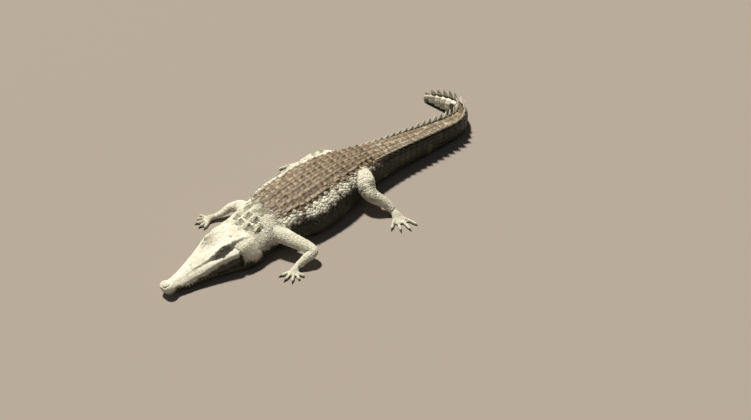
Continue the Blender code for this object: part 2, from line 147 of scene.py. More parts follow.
legShapes = {
    # points of the bone line (along, aside, height) with radii across and upright
    "foreleg_left": {
        "line": [(1.40, -0.16, 0.20), (1.45, -0.42, 0.19), (1.52, -0.70, 0.14),
                 (1.42, -0.715, 0.10), (1.31, -0.69, 0.052)],
        "radii": [(0.13, 0.11), (0.100, 0.085), (0.075, 0.066), (0.060, 0.052), (0.045, 0.036)],
        "bend": 2, "web": 0.12,
        "foot": {"heading": 214, "length": 0.090, "width": 0.058},
        "toes": [(162, 0.085), (194, 0.115), (220, 0.125), (246, 0.105), (280, 0.075)],
    },
    "foreleg_right": {
        "line": [(1.43, 0.20, 0.20), (1.47, 0.38, 0.18), (1.43, 0.52, 0.120),
                 (1.34, 0.565, 0.070), (1.265, 0.605, 0.042)],
        "radii": [(0.12, 0.10), (0.092, 0.084), (0.066, 0.060), (0.052, 0.044), (0.044, 0.034)],
        "bend": 2, "web": 0.12,
        "foot": {"heading": 154, "length": 0.090, "width": 0.058},
        "toes": [(206, 0.085), (184, 0.105), (160, 0.110), (134, 0.105), (106, 0.085)],
    },
    "hindleg_left": {
        "line": [(2.78, -0.14, 0.24), (2.68, -0.38, 0.26), (2.62, -0.54, 0.20),
                 (2.68, -0.69, 0.13), (2.715, -0.80, 0.060)],
        "radii": [(0.17, 0.14), (0.138, 0.120), (0.100, 0.090), (0.078, 0.068), (0.062, 0.046)],
        "bend": 2, "web": 0.45,
        "foot": {"heading": 243, "length": 0.160, "width": 0.074},
        "toes": [(212, 0.130), (234, 0.175), (253, 0.190), (277, 0.170)],
    },
    "hindleg_right": {
        "line": [(2.78, 0.02, 0.24), (2.66, 0.28, 0.26), (2.54, 0.42, 0.19),
                 (2.62, 0.51, 0.11), (2.645, 0.59, 0.055)],
        "radii": [(0.17, 0.14), (0.135, 0.115), (0.096, 0.085), (0.074, 0.060), (0.056, 0.042)],
        "bend": 2, "web": 0.45,
        "foot": {"heading": 174, "length": 0.160, "width": 0.072},
        "toes": [(202, 0.130), (186, 0.170), (173, 0.180), (160, 0.150)],
    },
}
eyeShape = {"along": 0.745, "side": 0.121, "height": 0.280, "radius": 0.030, "bare": 0.97}


def smoothBetween(rows, at):
    # monotone cubic through the rows of a table
    rows = np.array(rows, float)
    x, values = rows[:, 0], rows[:, 1:]
    at = np.clip(np.atleast_1d(np.asarray(at, float)), x[0], x[-1])
    slopes = np.diff(values, axis=0) / np.diff(x)[:, None]
    tangents = np.zeros_like(values)
    tangents[0], tangents[-1] = slopes[0], slopes[-1]
    before, after = slopes[:-1], slopes[1:]
    sameWay = before * after > 0
    mean = 2 * before * after / np.where(sameWay, before + after, 1)
    tangents[1:-1] = np.where(sameWay, mean, 0)
    i = np.clip(np.searchsorted(x, at, side="right") - 1, 0, len(x) - 2)
    h = (x[i + 1] - x[i])[:, None]
    t = ((at - x[i])[:, None]) / h
    return (values[i] * (1 + 2 * t) * (1 - t) ** 2 + values[i + 1] * t * t * (3 - 2 * t)
            + tangents[i] * h * t * (1 - t) ** 2 + tangents[i + 1] * h * t * t * (t - 1))


def curveThrough(points, steps=24):
    # Catmull-Rom curve
    p = np.array(points, float)
    p = np.vstack([2 * p[0] - p[1], p, 2 * p[-1] - p[-2]])
    made = []
    for i in range(1, len(p) - 2):
        a, b, c, d = p[i - 1:i + 3]
        for t in np.arange(steps) / steps:
            made.append(0.5 * (2 * b + (c - a) * t + (2 * a - 5 * b + 4 * c - d) * t**2
                               + (3 * b - a - 3 * c + d) * t**3))
    made.append(p[-2])
    return np.array(made)


def evenly(outline, count):
    # the same closed outline with its points at even distances
    p = np.vstack([outline, outline[:1]])
    run = np.concatenate([[0], np.cumsum(np.linalg.norm(np.diff(p, axis=0), axis=1))])
    at = np.linspace(0, run[-1], count, endpoint=False)
    return np.stack([np.interp(at, run, c) for c in p.T], axis=1)


class Route:
    # a curve asked for its points and headings by length
    def __init__(self, points):
        self.points = curveThrough(points)
        steps = np.linalg.norm(np.diff(self.points, axis=0), axis=1)
        self.lengths = np.concatenate([[0], np.cumsum(steps)])
        self.total = self.lengths[-1]

    def point(self, length):
        return np.array([np.interp(length, self.lengths, c) for c in self.points.T])

    def direction(self, length, reach=0.04):
        length = min(max(length, 0.0), self.total)
        step = self.point(length + reach) - self.point(length - reach)
        return step / np.linalg.norm(step)


class Surface:
    # a closed tube of rings; asked for places by distance along it and share of the way round
    def __init__(self, name, start, step, rings):
        self.name, self.start, self.step, self.rings = name, start, step, np.array(rings)
        self.count, self.around = self.rings.shape[:2]
        self.end = start + step * (self.count - 1)
        self.refresh()

    def refresh(self):
        r = self.rings
        self.girths = np.linalg.norm(np.roll(r, -1, axis=1) - r, axis=2).sum(axis=1)
        forward = np.gradient(r, axis=0)
        sideways = np.roll(r, -1, axis=1) - np.roll(r, 1, axis=1)
        normals = np.cross(forward, sideways)
        outward = (normals * (r - r.mean(axis=1, keepdims=True))).sum()
        normals *= 1 if outward > 0 else -1
        size = np.linalg.norm(normals, axis=2, keepdims=True)
        self.normals = normals / np.maximum(size, 1e-12)
        middles = r.mean(axis=1)
        run = np.linalg.norm(np.diff(middles, axis=0), axis=1).sum()
        self.metres = run / max(self.end - self.start, 1e-9)  # metres for one unit of along

    def look(self, grid, along, turn):
        i = np.clip((along - self.start) / self.step, 0, self.count - 1.001)
        j = (turn % 1.0) * self.around
        i0, j0 = i.astype(int), j.astype(int) % self.around
        f, g = (i - i0)[..., None], (j - np.floor(j))[..., None]
        j1 = (j0 + 1) % self.around
        return ((grid[i0, j0] * (1 - g) + grid[i0, j1] * g) * (1 - f)
                + (grid[i0 + 1, j0] * (1 - g) + grid[i0 + 1, j1] * g) * f)

    def place(self, along, turn):
        return self.look(self.rings, along, turn)

    def outward(self, along, turn):
        n = self.look(self.normals, along, turn)
        return n / np.maximum(np.linalg.norm(n, axis=-1, keepdims=True), 1e-9)

    def girth(self, along):
        return np.interp(along, self.start + self.step * np.arange(self.count), self.girths)

    def grid(self):
        alongs = self.start + self.step * np.arange(self.count)
        turns = np.arange(self.around) / self.around
        return np.meshgrid(alongs, turns, indexing="ij")


spineRoute = Route(bodyShape["spine"])


def roundAngles(count, shift=0.0):
    # even steps once round
    return 2 * math.pi * (np.arange(count) + shift) / count


def bump(x, centre, width):
    return np.exp(-(((x - centre) / width) ** 2))


def smoothStep(x, low, high):
    t = np.clip((x - low) / (high - low), 0, 1)
    return t * t * (3 - 2 * t)


def speckle(points, sizeMm, seed):
    # soft noise, about -1 to 1, whose blobs are sizeMm across
    scale = 1000.0 / sizeMm
    shift = Vector((seed * 3.1, seed * 7.7, seed * 1.3))
    return np.array([noise.noise(Vector(p) * scale + shift) for p in np.asarray(points).reshape(-1, 3)])


def insetSection(points):
    # a closed outline of the solids moved in to the skin, and clear of the floor
    ahead = np.roll(points, -1, axis=0) - np.roll(points, 1, axis=0)
    n = np.stack([-ahead[:, 1], ahead[:, 0]], axis=1)
    n /= np.maximum(np.linalg.norm(n, axis=1, keepdims=True), 1e-12)
    if (n * (points - points.mean(axis=0))).sum() > 0:
        n = -n
    moved = points + n * skinInset
    moved[:, 1] = np.maximum(moved[:, 1], skinInset)
    return moved


def bodySection(distance, count):
    half, top, widest, flat, square = smoothBetween(bodyShape["sections"], distance)[0]
    t = np.linspace(0, math.pi / 2, 40)
    back = np.stack([half * np.sin(t) ** (2 / square),
                     widest + (top - widest) * np.cos(t) ** (2 / square)], axis=1)
    e = 2 / bodyShape["bellySquareness"]
    low = np.stack([flat + (half - flat) * np.cos(t) ** e, widest * (1 - np.sin(t) ** e)], axis=1)
    right = np.vstack([back, low[1:], [(0.0, 0.0)]])
    left = right[1:-1][::-1] * (-1, 1)
    outline = insetSection(evenly(np.vstack([right, left]), count))
    # the tail's tip is rounded off
    end, rounding = bodyShape["sections"][-1][0], bodyShape["rounding"]
    blunt = math.sqrt(max(1 - max(distance - end + rounding, 0) ** 2 / rounding**2, 0.02))
    middle = np.array([0, 0.045])
    return middle + (outline - middle) * blunt


def bodyRings():
    start, step = bodyShape["from"], bodyShape["step"]
    stations = np.arange(start, bodyShape["to"], step)
    rings = []
    for s in stations:
        x, y = spineRoute.point(s)
        along = spineRoute.direction(s)
        outline = bodySection(s, bodyShape["round"])
        rings.append(np.stack([x + along[1] * outline[:, 0], y - along[0] * outline[:, 0],
                               outline[:, 1]], axis=1))
    return start, step, np.array(rings)


def headPlace(along, aside, height):
    back = 1 - (1 - along) * headShape["snoutShare"]
    y = bodyShape["spine"][0][1] + aside + headShape["lean"] * (headShape["leanFrom"] - along)
    return back, y, height


def headSection(along, count):
    mid, ridge, ridgeZ, cheek, cheekZ, lip, lipZ = smoothBetween(headShape["skull"], along)[0]
    half, floor, low = smoothBetween(headShape["jaw"], along)[0]
    hollow = smoothBetween(headShape["hollow"], along)[0][0]
    drop, reach = ridgeZ - cheekZ, cheek - ridge
    parted = 1 - smoothStep(along, headShape["mouthCorner"] - 0.02, headShape["mouthCorner"] + 0.03)
    tuck = 0.014 * parted
    jawTop = min(half, lip)
    shelf = smoothStep(along, 0.60, 0.67) * (1 - smoothStep(along, 0.84, 0.90))  # the brow overhangs the eye
    points = [
        (0.0, mid),
        (ridge * 0.55, mid + (ridgeZ - mid) * 0.35),
        (ridge * 0.94 + 0.020 * shelf, ridgeZ - 0.001),
        (ridge + reach * (0.20 - 0.06 * hollow) + 0.014 * shelf, ridgeZ - drop * (0.10 + 0.25 * hollow)
         + 0.024 * shelf),
        (ridge + reach * (0.20 - 0.14 * hollow), ridgeZ - drop * (0.16 + 0.24 * hollow) - 0.004 * shelf),
        (ridge + reach * (0.55 - 0.26 * hollow), ridgeZ - drop * (0.42 + 0.34 * hollow)),
        (cheek, cheekZ),
        (cheek + (lip - cheek) * 0.7, cheekZ + (lipZ - cheekZ) * 0.6),
        (lip, lipZ + 0.010),
        (lip - 0.004 * parted, lipZ),
        (jawTop - tuck, lipZ - 0.010),
        (half - 0.3 * tuck, low + (lipZ - low) * 0.62),
        (half, low + (lipZ - low) * 0.42),
        (floor + (half - floor) * 0.7, low + (lipZ - low) * 0.15),
        (floor, low),
        (floor * 0.5, low),
    ]
    right = curveThrough(np.array(points + [(0.0, low)]), 8)
    right[:, 0] = np.maximum(right[:, 0], 0.0)
    left = right[1:-1][::-1] * (-1, 1)
    return insetSection(evenly(np.vstack([right, left]), count))


def headRings():
    start, step = headShape["from"], headShape["step"]
    stations = np.arange(start, headShape["to"], step)
    rings = []
    for s in stations:
        outline = headSection(s, headShape["round"])
        x, y, z = headPlace(s, -outline[:, 0], outline[:, 1])
        rings.append(np.stack([np.full(len(outline), x), y, z], axis=1))
    return start, step, np.array(rings)


def keptAhead(ring, centre, along, least=0.003):
    # moves the points of a ring that lie behind its neighbour's plane
    ahead = (ring - centre) @ along
    moved = ring + along * np.maximum(least - ahead, 0)[:, None]
    moved[:, 2] = np.maximum(moved[:, 2], 0)
    return moved


def legRings(leg, sides=48, count=120):
    route = Route(leg["line"])
    marks = [route.lengths[i * 24] for i in range(len(leg["line"]))]
    table = [(m, *r) for m, r in zip(marks, leg["radii"])]
    lengths = np.linspace(0, route.total, count)
    rings, planes = [], []
    angles = roundAngles(sides)
    for length in lengths:
        centre, along = route.point(length), route.direction(length)
        across = np.cross(along, (0, 0, 1.0))
        across /= np.linalg.norm(across)
        upright = np.cross(across, along)
        wide, high = smoothBetween(table, length)[0] - skinInset
        ring = (centre + upright * high * np.cos(angles)[:, None]
                + across * wide * np.sin(angles)[:, None])
        ring[:, 2] = np.maximum(ring[:, 2], skinInset)
        rings.append(ring)
        planes.append((centre, along))
    split = int(np.argmin(abs(lengths - marks[leg["bend"]])))
    for i in range(split + 1, count):
        rings[i] = keptAhead(rings[i], *planes[i - 1])
    for i in range(split - 1, -1, -1):
        rings[i] = keptAhead(rings[i], planes[i + 1][0], -planes[i + 1][1])
    return route, np.array(rings)


def toWorld(points):
    return np.asarray(points) * headLength + origin


def findOrigin():
    # where the tables' zero lies, from the solids' own boxes
    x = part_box("head")[0][0] - headPlace(0.0, 0.0, 0.0)[0] * headLength
    middles = [sum(corner[1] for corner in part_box(eye)) / 2 for eye in ("eye_left", "eye_right")]
    y = sum(middles) / 2 - headPlace(eyeShape["along"], 0.0, 0.0)[1] * headLength
    return np.array([x, y, 0.0])


origin = findOrigin()
print("origin of the tables", origin.round(4))


palmShape = {
    # share of the palm's length, half width as a share of the foot's, half height
    "sections": [(0.0, 0.80, 0.040), (0.25, 0.74, 0.040), (0.6, 0.98, 0.030), (1.0, 0.93, 0.021),
                 (1.25, 0.80, 0.015)],
    "swing": 0.6,  # of the width, that it carries on in the leg's direction
    "knuckles": 0.78,  # of the length, where the toes start
    "spread": 1.75,  # of the width, from the first toe to the last
}


def footRings(leg, route, ankle):
    # the palm, from the ankle's ring to the knuckles
    foot = leg["foot"]
    heading = math.radians(foot["heading"])
    out = np.array([math.cos(heading), math.sin(heading), 0.0])
    start, along = route.point(route.total), route.direction(route.total)
    swing = np.array([along[0], along[1], 0.0]) * foot["width"] * palmShape["swing"]
    rings, plane = [ankle], (start, along)
    angles = roundAngles(len(ankle))
    for share in np.linspace(0.12, 1.22, 16):
        wide, high = smoothBetween(palmShape["sections"], share)[0]
        centre = start + out * foot["length"] * share + swing * (1 - max(1 - share, 0) ** 2)
        turn = min(share * 1.6, 1.0)
        facing = along * (1 - turn) + out * turn
        facing[2] = 0
        facing /= np.linalg.norm(facing)
        across = np.cross(facing, (0, 0, 1.0))
        ring = centre + across * (foot["width"] * wide - skinInset) * np.sin(angles)[:, None]
        ring[:, 2] = np.maximum(high * 0.95 + (high - skinInset) * np.cos(angles), skinInset)
        rings.append(keptAhead(ring, *plane))
        plane = (centre, facing)
    knuckles = start + out * foot["length"] * palmShape["knuckles"] + swing
    knuckles[2] = 0
    return np.array(rings), knuckles, out


def toeRoots(leg, knuckles, out):
    side = np.cross(out, (0, 0, 1.0))
    toes = leg["toes"]
    turn = 1 if toes[0][0] < toes[-1][0] else -1
    roots = []
    for i, (heading, length) in enumerate(toes):
        spread = (i / (len(toes) - 1) - 0.5) * palmShape["spread"] * leg["foot"]["width"]
        angle = math.radians(heading)
        roots.append((knuckles - side * spread * turn,
                      np.array([math.cos(angle), math.sin(angle), 0.0]), length))
    return roots


toeShape = {
    "radius": 0.0205,
    # share of the toe's length and of its radius; it swells at the knuckles
    "swell": [(-0.35, 1.05), (0.0, 1.08), (0.22, 0.92), (0.38, 1.02), (0.56, 0.84), (0.72, 0.94),
              (0.86, 0.80), (1.0, 0.66)],
    "inset": 0.4,  # of the rest of the skin's
}


def toeRings(root, out, length):
    # a toe with its knuckles, lying on the floor
    side = np.array([-out[1], out[0], 0])
    inset = skinInset * toeShape["inset"]
    rings = []
    angles = roundAngles(20)
    for share in np.linspace(-0.35, 1.0, 26):
        radius = toeShape["radius"] * smoothBetween(toeShape["swell"], share)[0][0] - inset
        centre = root + out * length * share
        ring = centre + side * radius * np.sin(angles)[:, None]
        ring[:, 2] = np.maximum(toeShape["radius"] * 0.85 + radius * np.cos(angles), inset * 2)
        rings.append(ring)
    return np.array(rings)


webShape = {"sag": 0.18, "top": 0.018, "thin": 0.006, "low": 0.008}


def webRings(first, second, reach):
    # skin between two toes, as a flat bag from the palm out
    rings = []
    across = np.linspace(0, 1, 9)
    for share in np.linspace(-0.1, reach, 8):
        a = first[0] + first[1] * first[2] * share
        b = second[0] + second[1] * second[2] * share
        sag = webShape["sag"] * np.sin(math.pi * across) * share
        line = a + (b - a) * across[:, None]
        middle = (first[1] * first[2] + second[1] * second[2]) / 2
        line = line - middle * sag[:, None]
        top, low = line.copy(), line.copy()
        top[:, 2] = webShape["top"] - webShape["thin"] * np.sin(math.pi * across)
        low[:, 2] = webShape["low"]
        rings.append(np.vstack([top, low[::-1]]))
    return np.array(rings)


def tubeMesh(rings, looped=False):
    # points and faces of a tube, with both ends closed or joined to each other
    count, around = rings.shape[:2]
    points = rings.reshape(-1, 3)
    i, j = np.meshgrid(np.arange(count if looped else count - 1), np.arange(around), indexing="ij")
    here, there, turned = i * around, (i + 1) % count * around, (j + 1) % around
    quads = np.stack([here + j, here + turned, there + turned, there + j], axis=-1).reshape(-1, 4).tolist()
    if looped:
        return points, quads
    tips = np.array([rings[0].mean(axis=0), rings[-1].mean(axis=0)])
    near, last = len(points), (count - 1) * around
    turns = [(r, (r + 1) % around) for r in range(around)]
    caps = [(near, t, r) for r, t in turns] + [(near + 1, last + r, last + t) for r, t in turns]
    return np.vstack([points, tips]), quads + caps


def joined(parts):
    # the points and faces of several meshes as one
    points, faces, shift = [], [], 0
    for p, f in parts:
        faces += [[i + shift for i in face] for face in f]
        points.append(p)
        shift += len(p)
    return np.vstack(points), faces


def newObject(name, points, faces):
    mesh = bpy.data.meshes.new(name)
    mesh.from_pydata(np.asarray(points).tolist(), [], faces)
    mesh.update()
    made = bpy.data.objects.new(name, mesh)
    bpy.context.scene.collection.objects.link(made)
    return made


def applied(piece):
    # the piece with its modifiers made final
    graph = bpy.context.evaluated_depsgraph_get()
    mesh = bpy.data.meshes.new_from_object(piece.evaluated_get(graph))
    piece.modifiers.clear()
    old = piece.data
    piece.data = mesh
    mesh.name = old.name
    bpy.data.meshes.remove(old)
    return piece


def dress(piece, material):
    piece.data.materials.append(material)
    piece.data.shade_smooth()
    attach(piece, "root")


def pointsOf(mesh):
    flat = np.empty(len(mesh.vertices) * 3)
    mesh.vertices.foreach_get("co", flat)
    return flat.reshape(-1, 3)


def crease(x):
    # a fold's profile: round on top, sharp between; 0 in the crease, 1 on the fold
    return np.abs(np.sin(math.pi * x)) ** 0.6


foldShape = {
    # depth, distance from fold to fold, and how far they wander
    "neck": (0.0065, 0.052, 0.9),
    "rear": (0.0050, 0.060, 1.2),
    "leg": (0.0050, 0.027, 0.8),
    "flank": 0.0045,
    "neckDrop": 0.010,
    "grain": 0.0012,
    "legGrain": 0.0015,
}


def foldDepth(kind, where, metres, wander):
    deep, apart, drift = foldShape[kind]
    return deep * where * (1 - crease(metres / apart + drift * wander))


def foldBody(body):
    # loose skin: folds round the neck, behind the arms, before the thighs and along the flanks
    along, turn = body.grid()
    turn = np.minimum(turn, 1 - turn)
    wander = speckle(body.rings, 160, 5).reshape(along.shape)
    metres = along * headLength
    side = bump(turn, 0.24, 0.10)
    neck = bump(along, 0.30, 0.16) * side
    rear = (bump(along, 1.52, 0.16) + 0.8 * bump(along, 0.86, 0.10)) * bump(turn, 0.27, 0.07)
    depth = foldDepth("neck", neck, metres, wander)
    depth += foldDepth("rear", rear, metres, wander)
    belt = bump(turn, 0.30, 0.06) * (along > 0.5) * (along < 1.7)
    depth += foldShape["flank"] * belt * (0.5 + 0.5 * wander)
    # the neck lies lower than the skull
    depth += foldShape["neckDrop"] * (1 - smoothStep(along, 0.16, 0.34)) * (turn < 0.25)
    depth[along < 0.1] += 0.004
    depth += foldShape["grain"] * speckle(body.rings, 30, 6).reshape(along.shape)
    body.rings = body.rings - body.normals * np.maximum(depth, 0)[..., None]
    body.rings[..., 2] = np.maximum(body.rings[..., 2], coatDepth)
    body.refresh()


def foldLeg(leg):
    along = leg.grid()[0]
    wander = speckle(leg.rings, 90, 8).reshape(along.shape)
    share = along / leg.end
    depth = foldDepth("leg", 1.0, along * headLength, wander) * (1 - 0.75 * share)
    depth += foldShape["legGrain"] * (1 + wander)
    leg.rings = leg.rings - leg.normals * depth[..., None]
    leg.rings[..., 2] = np.maximum(leg.rings[..., 2], coatDepth)
    leg.refresh()


def ownSurface(name, rings):
    # a form whose places run from 0 to 1
    return Surface(name, 0.0, 1 / (len(rings) - 1), toWorld(rings))


def makeSurfaces():
    start, step, rings = bodyRings()
    body = Surface("body", start, step, toWorld(rings))
    foldBody(body)
    start, step, rings = headRings()
    head = Surface("head", start, step, toWorld(rings))
    surfaces = {"body": body, "head": head}
    for name, leg in legShapes.items():
        route, rings = legRings(leg)
        surfaces[name] = Surface(name, 0.0, route.total / (len(rings) - 1), toWorld(rings))
        foldLeg(surfaces[name])
        palm, knuckles, out = footRings(leg, route, rings[-1])
        surfaces[name + "_palm"] = ownSurface(name + "_palm", palm)
        roots = toeRoots(leg, knuckles, out)
        for i, root in enumerate(roots):
            toe = f"{name}_toe_{i + 1}"
            surfaces[toe] = ownSurface(toe, toeRings(*root))
        for i, (first, second) in enumerate(zip(roots, roots[1:])):
            web = f"{name}_web_{i + 1}"
            surfaces[web] = ownSurface(web, webRings(first, second, leg["web"]))
    return surfaces


skinDetail = {
    "voxelMm": 3.0,
    "voxelQuickMm": 6.0,
    "triangles": 184000,
    "headEnd": 1.14,
    "evening": (0.6, -0.5, 0.6, -0.5),  # takes out the remeshing's steps without shrinking
    "joints": [0.6] * 14,
    "ankle": 0.050, "shoulder": 0.120, "toe": 0.014,  # reach of the softened joints
}


def headPlaces(points):
    # world points as places on the head: distance behind the snout, aside, height
    p = (np.asarray(points) - origin) / headLength
    along = 1 - (1 - p[:, 0]) / headShape["snoutShare"]
    aside = p[:, 1] - bodyShape["spine"][0][1] - headShape["lean"] * (headShape["leanFrom"] - along)
    return along, aside, p[:, 2]


def lineBump(along, aside, start, end, width):
    # 1 on the line between two places of the head, fading across it
    a, b = np.array(start), np.array(end)
    way = b - a
    q = np.stack([along - a[0], aside - a[1]], axis=1)
    t = np.clip(q @ way / (way @ way), 0, 1)
    gap = np.linalg.norm(q - t[:, None] * way, axis=1)
    return np.exp(-((gap / width) ** 2))


def mouthHeight(along):
    # the festooned edge of the upper lip
    lipZ = smoothBetween(headShape["skull"], along)[:, 6]
    return lipZ - 0.004 + 0.004 * np.sin(along * 62) * bump(along, 0.35, 0.30)


headRelief = {
    # height in millimetres, both ends (distance behind the snout tip, aside) and width
    "lines": [
        (4.2, (0.42, 0.046), (0.70, 0.098), 0.014),  # ridge before each eye
        (2.2, (0.20, 0.030), (0.42, 0.044), 0.012),  # and on down the snout
        (-3.4, (0.45, 0.078), (0.66, 0.128), 0.013),  # hollow outside it
        (2.0, (0.84, 0.112), (1.04, 0.138), 0.010),  # rim of the skull table
    ],
    "snoutRidge": (2.2, (0.15, 0.0), (0.36, 0.0), 0.016),
    "cheekFold": (-4.0, (0.875, 0.150), (0.895, 0.225), 0.009),
    "festoons": (0.20, 0.265, 0.33, 0.41, 0.49, 0.57),  # over the upper jaw's larger teeth
    "festoonMm": 3.0, "discMm": 3.0, "nostrilMm": 8.0, "earMm": 5.0, "mouthMm": 6.5, "jowlFrontMm": 15.0,
    "tableDentMm": 3.4, "betweenEyesMm": 3.0, "jowlMm": 3.0,
    "pits": ((26, 3, 1.0), (11, 4, 0.7)),  # size in millimetres, seed and depth in millimetres
}


def sculptHead(points, normals):
    # how far each point of the head moves along its normal, worked out in millimetres
    relief = headRelief
    along, aside, height = headPlaces(points)
    near = abs(aside)
    skull = smoothBetween(headShape["skull"], along)
    lip, ridge, ridgeZ = skull[:, 5], skull[:, 1], skull[:, 2]
    top = smoothStep(normals[:, 2], 0.3, 0.8)
    move = np.zeros(len(points))
    # nasal disc with its two crescent nostrils
    gap = np.hypot((along - 0.060) / 0.044, aside / 0.046)
    disc = top * (along < 0.13)
    move += relief["discMm"] * (1 - smoothStep(gap, 0.80, 1.05) - bump(gap, 1.12, 0.16)) * disc
    for side in (1, -1):
        bent = (along - 0.058) + 9.0 * (side * aside - 0.006) ** 2
        move -= relief["nostrilMm"] * bump(bent, 0.0, 0.0065) * bump(side * aside, 0.018, 0.013) * disc
        for rise, start, end, width in relief["lines"]:
            move += rise * lineBump(along, side * aside, start, end, width) * top
        dent = np.hypot((along - 0.935) / 1.3, side * aside - 0.055)
        move -= relief["tableDentMm"] * bump(dent, 0.0, 0.019) * top
        rise, *line = relief["cheekFold"]
        move += rise * lineBump(along, side * aside, *line) * (height > 0.2)
    move -= relief["betweenEyesMm"] * bump(along, 0.74, 0.07) * bump(near, 0.0, 0.06) * top
    rise, *line = relief["snoutRidge"]
    move += rise * lineBump(along, aside, *line) * top
    # ear slit under the table's edge
    move -= relief["earMm"] * bump(height, ridgeZ - 0.030, 0.008) * bump(along, 0.885, 0.055) * (near > ridge)
    # mouth line, and the crease at its corner down the front of the jowl
    corner = headShape["mouthCorner"]
    lips = (1 - smoothStep(along, corner - 0.03, corner)) * (near > lip - 0.045)
    move -= relief["mouthMm"] * bump(height, mouthHeight(along) - 0.006, 0.0075) * lips
    front = corner + 0.10 * (height - 0.15)
    move -= relief["jowlFrontMm"] * bump(along, front, 0.014) * (near > 0.20) \
        * smoothStep(height, 0.06, 0.12) * (1 - smoothStep(height, 0.225, 0.258))
    move += relief["jowlMm"] * smoothStep(along, 0.90, 0.95) * (near > 0.2) \
        * (1 - smoothStep(along, 1.08, 1.12))
    bulge = sum(bump(along, place, 0.022) for place in relief["festoons"])
    move += relief["festoonMm"] * bulge * bump(height, mouthHeight(along) + 0.014, 0.014) * lips
    # worn, pitted bone under the skin
    bone = smoothStep(height, 0.10, 0.15) * (1 - smoothStep(along, 1.06, 1.11))
    move += bone * sum(deep * speckle(points, sizeMm, seed) for sizeMm, seed, deep in relief["pits"])
    return move / 1000 * (along < skinDetail["headEnd"])


def makeSkin(surfaces):
    skin = newObject("skin", *joined([tubeMesh(surface.rings) for surface in surfaces.values()]))
    remesh = skin.modifiers.new("one skin", "REMESH")
    remesh.mode = "VOXEL"
    remesh.voxel_size = skinDetail["voxelMm"] / 1000
    applied(skin)
    print("skin joined:", len(skin.data.vertices), "points")
    smoothSkin(skin, skinDetail["evening"])
    smoothSkin(skin, skinDetail["joints"], jointPlaces(surfaces))
    points = pointsOf(skin.data)
    mine = np.flatnonzero(headPlaces(points)[0] < skinDetail["headEnd"])
    normals = np.empty(len(points) * 3)
    skin.data.vertices.foreach_get("normal", normals)
    normals = normals.reshape(-1, 3)
    points[mine] += normals[mine] * sculptHead(points[mine], normals[mine])[:, None]
    points[:, 2] = np.maximum(points[:, 2], coatDepth * 0.8)
    skin.data.vertices.foreach_set("co", points.reshape(-1))
    # fewer points where scales cover the skin, all of them on the head
    rest = skin.vertex_groups.new(name="under scales")
    rest.add(np.setdiff1d(np.arange(len(points)), mine).tolist(), 1.0, "REPLACE")
    fewer = skin.modifiers.new("fewer points", "DECIMATE")
    fewer.ratio = min(skinDetail["triangles"] / (2 * len(skin.data.polygons)), 1.0)
    fewer.vertex_group = "under scales"
    applied(skin)
    skin.vertex_groups.clear()
    print("skin:", len(skin.data.vertices), "points,", len(skin.data.polygons), "faces")
    return skin


def jointPlaces(surfaces):
    # where forms meet: middle and reach of the spots that get more smoothing
    spots = []
    for name in legShapes:
        leg = surfaces[name]
        spots.append((leg.rings[-1].mean(axis=0), skinDetail["ankle"]))
        spots.append((leg.rings[14].mean(axis=0), skinDetail["shoulder"]))
        for i in range(len(legShapes[name]["toes"])):
            spots.append((surfaces[f"{name}_toe_{i + 1}"].rings[7].mean(axis=0), skinDetail["toe"]))
    return spots


def smoothSkin(skin, factors, spots=None):
    # evens out the steps of the remeshing, or softens the joints between the forms
    points = pointsOf(skin.data)
    share = np.ones(len(points))
    if spots:
        share[:] = 0
        for middle, reach in spots:
            gap = np.linalg.norm(points - middle, axis=1)
            share = np.maximum(share, 1 - smoothStep(gap, reach * 0.5, reach))
    edges = np.empty(len(skin.data.edges) * 2, int)
    skin.data.edges.foreach_get("vertices", edges)
    a, b = edges.reshape(-1, 2).T
    degree = np.bincount(a, minlength=len(points)) + np.bincount(b, minlength=len(points))
    for factor in factors:
        mean = np.stack([np.bincount(a, points[b, k], len(points)) + np.bincount(b, points[a, k], len(points))
                         for k in range(3)], axis=1) / degree[:, None]
        points += (mean - points) * (factor * share)[:, None]
    skin.data.vertices.foreach_set("co", points.reshape(-1))


plateRims = {
    # size of each rim and its height, as shares, from the sunk edge to the crown
    "scale": [(1.0, -0.8), (0.90, 0.40), (0.58, 0.88)],
    "grain": [(1.0, -0.8), (0.72, 0.60)],
    "flat": [(1.0, -0.7), (0.90, 0.60)],
}
roundCount = {"scale": 9, "grain": 7, "flat": 9}


def roundTemplate(kind):
    # a scale as rims round its crown: direction, size and height; its outline is fitted later
    rims, count = plateRims[kind], roundCount[kind]
    angles = roundAngles(count, 0.5)
    points = [(math.cos(a) * size, math.sin(a) * size, height, 0.0) for size, height in rims for a in angles]
    points.append((0.0, 0.0, 1.0, 0.0))
    faces = []
    for r in range(len(rims) - 1):
        for i in range(count):
            j = (i + 1) % count
            low, high = r * count, (r + 1) * count
            faces += [(low + i, low + j, high + j), (low + i, high + j, high + i)]
    last, tip = (len(rims) - 1) * count, len(rims) * count
    faces += [(last + i, last + (i + 1) % count, tip) for i in range(count)]
    return np.array(points), np.array(faces)


plateLines = {
    # where the plate's points lie along and across it, and how square its corners are
    "ring": ([-1, -0.93, -0.3, 0.5, 0.92, 1], [-1, -0.93, -0.45, 0, 0.45, 0.93, 1], 9.0),
    "scute": ([-1, -0.93, -0.5, 0, 0.4, 0.66, 0.9, 1],
              [-1, -0.94, -0.62, -0.3, -0.11, 0, 0.11, 0.3, 0.62, 0.94, 1], 5.0),
}


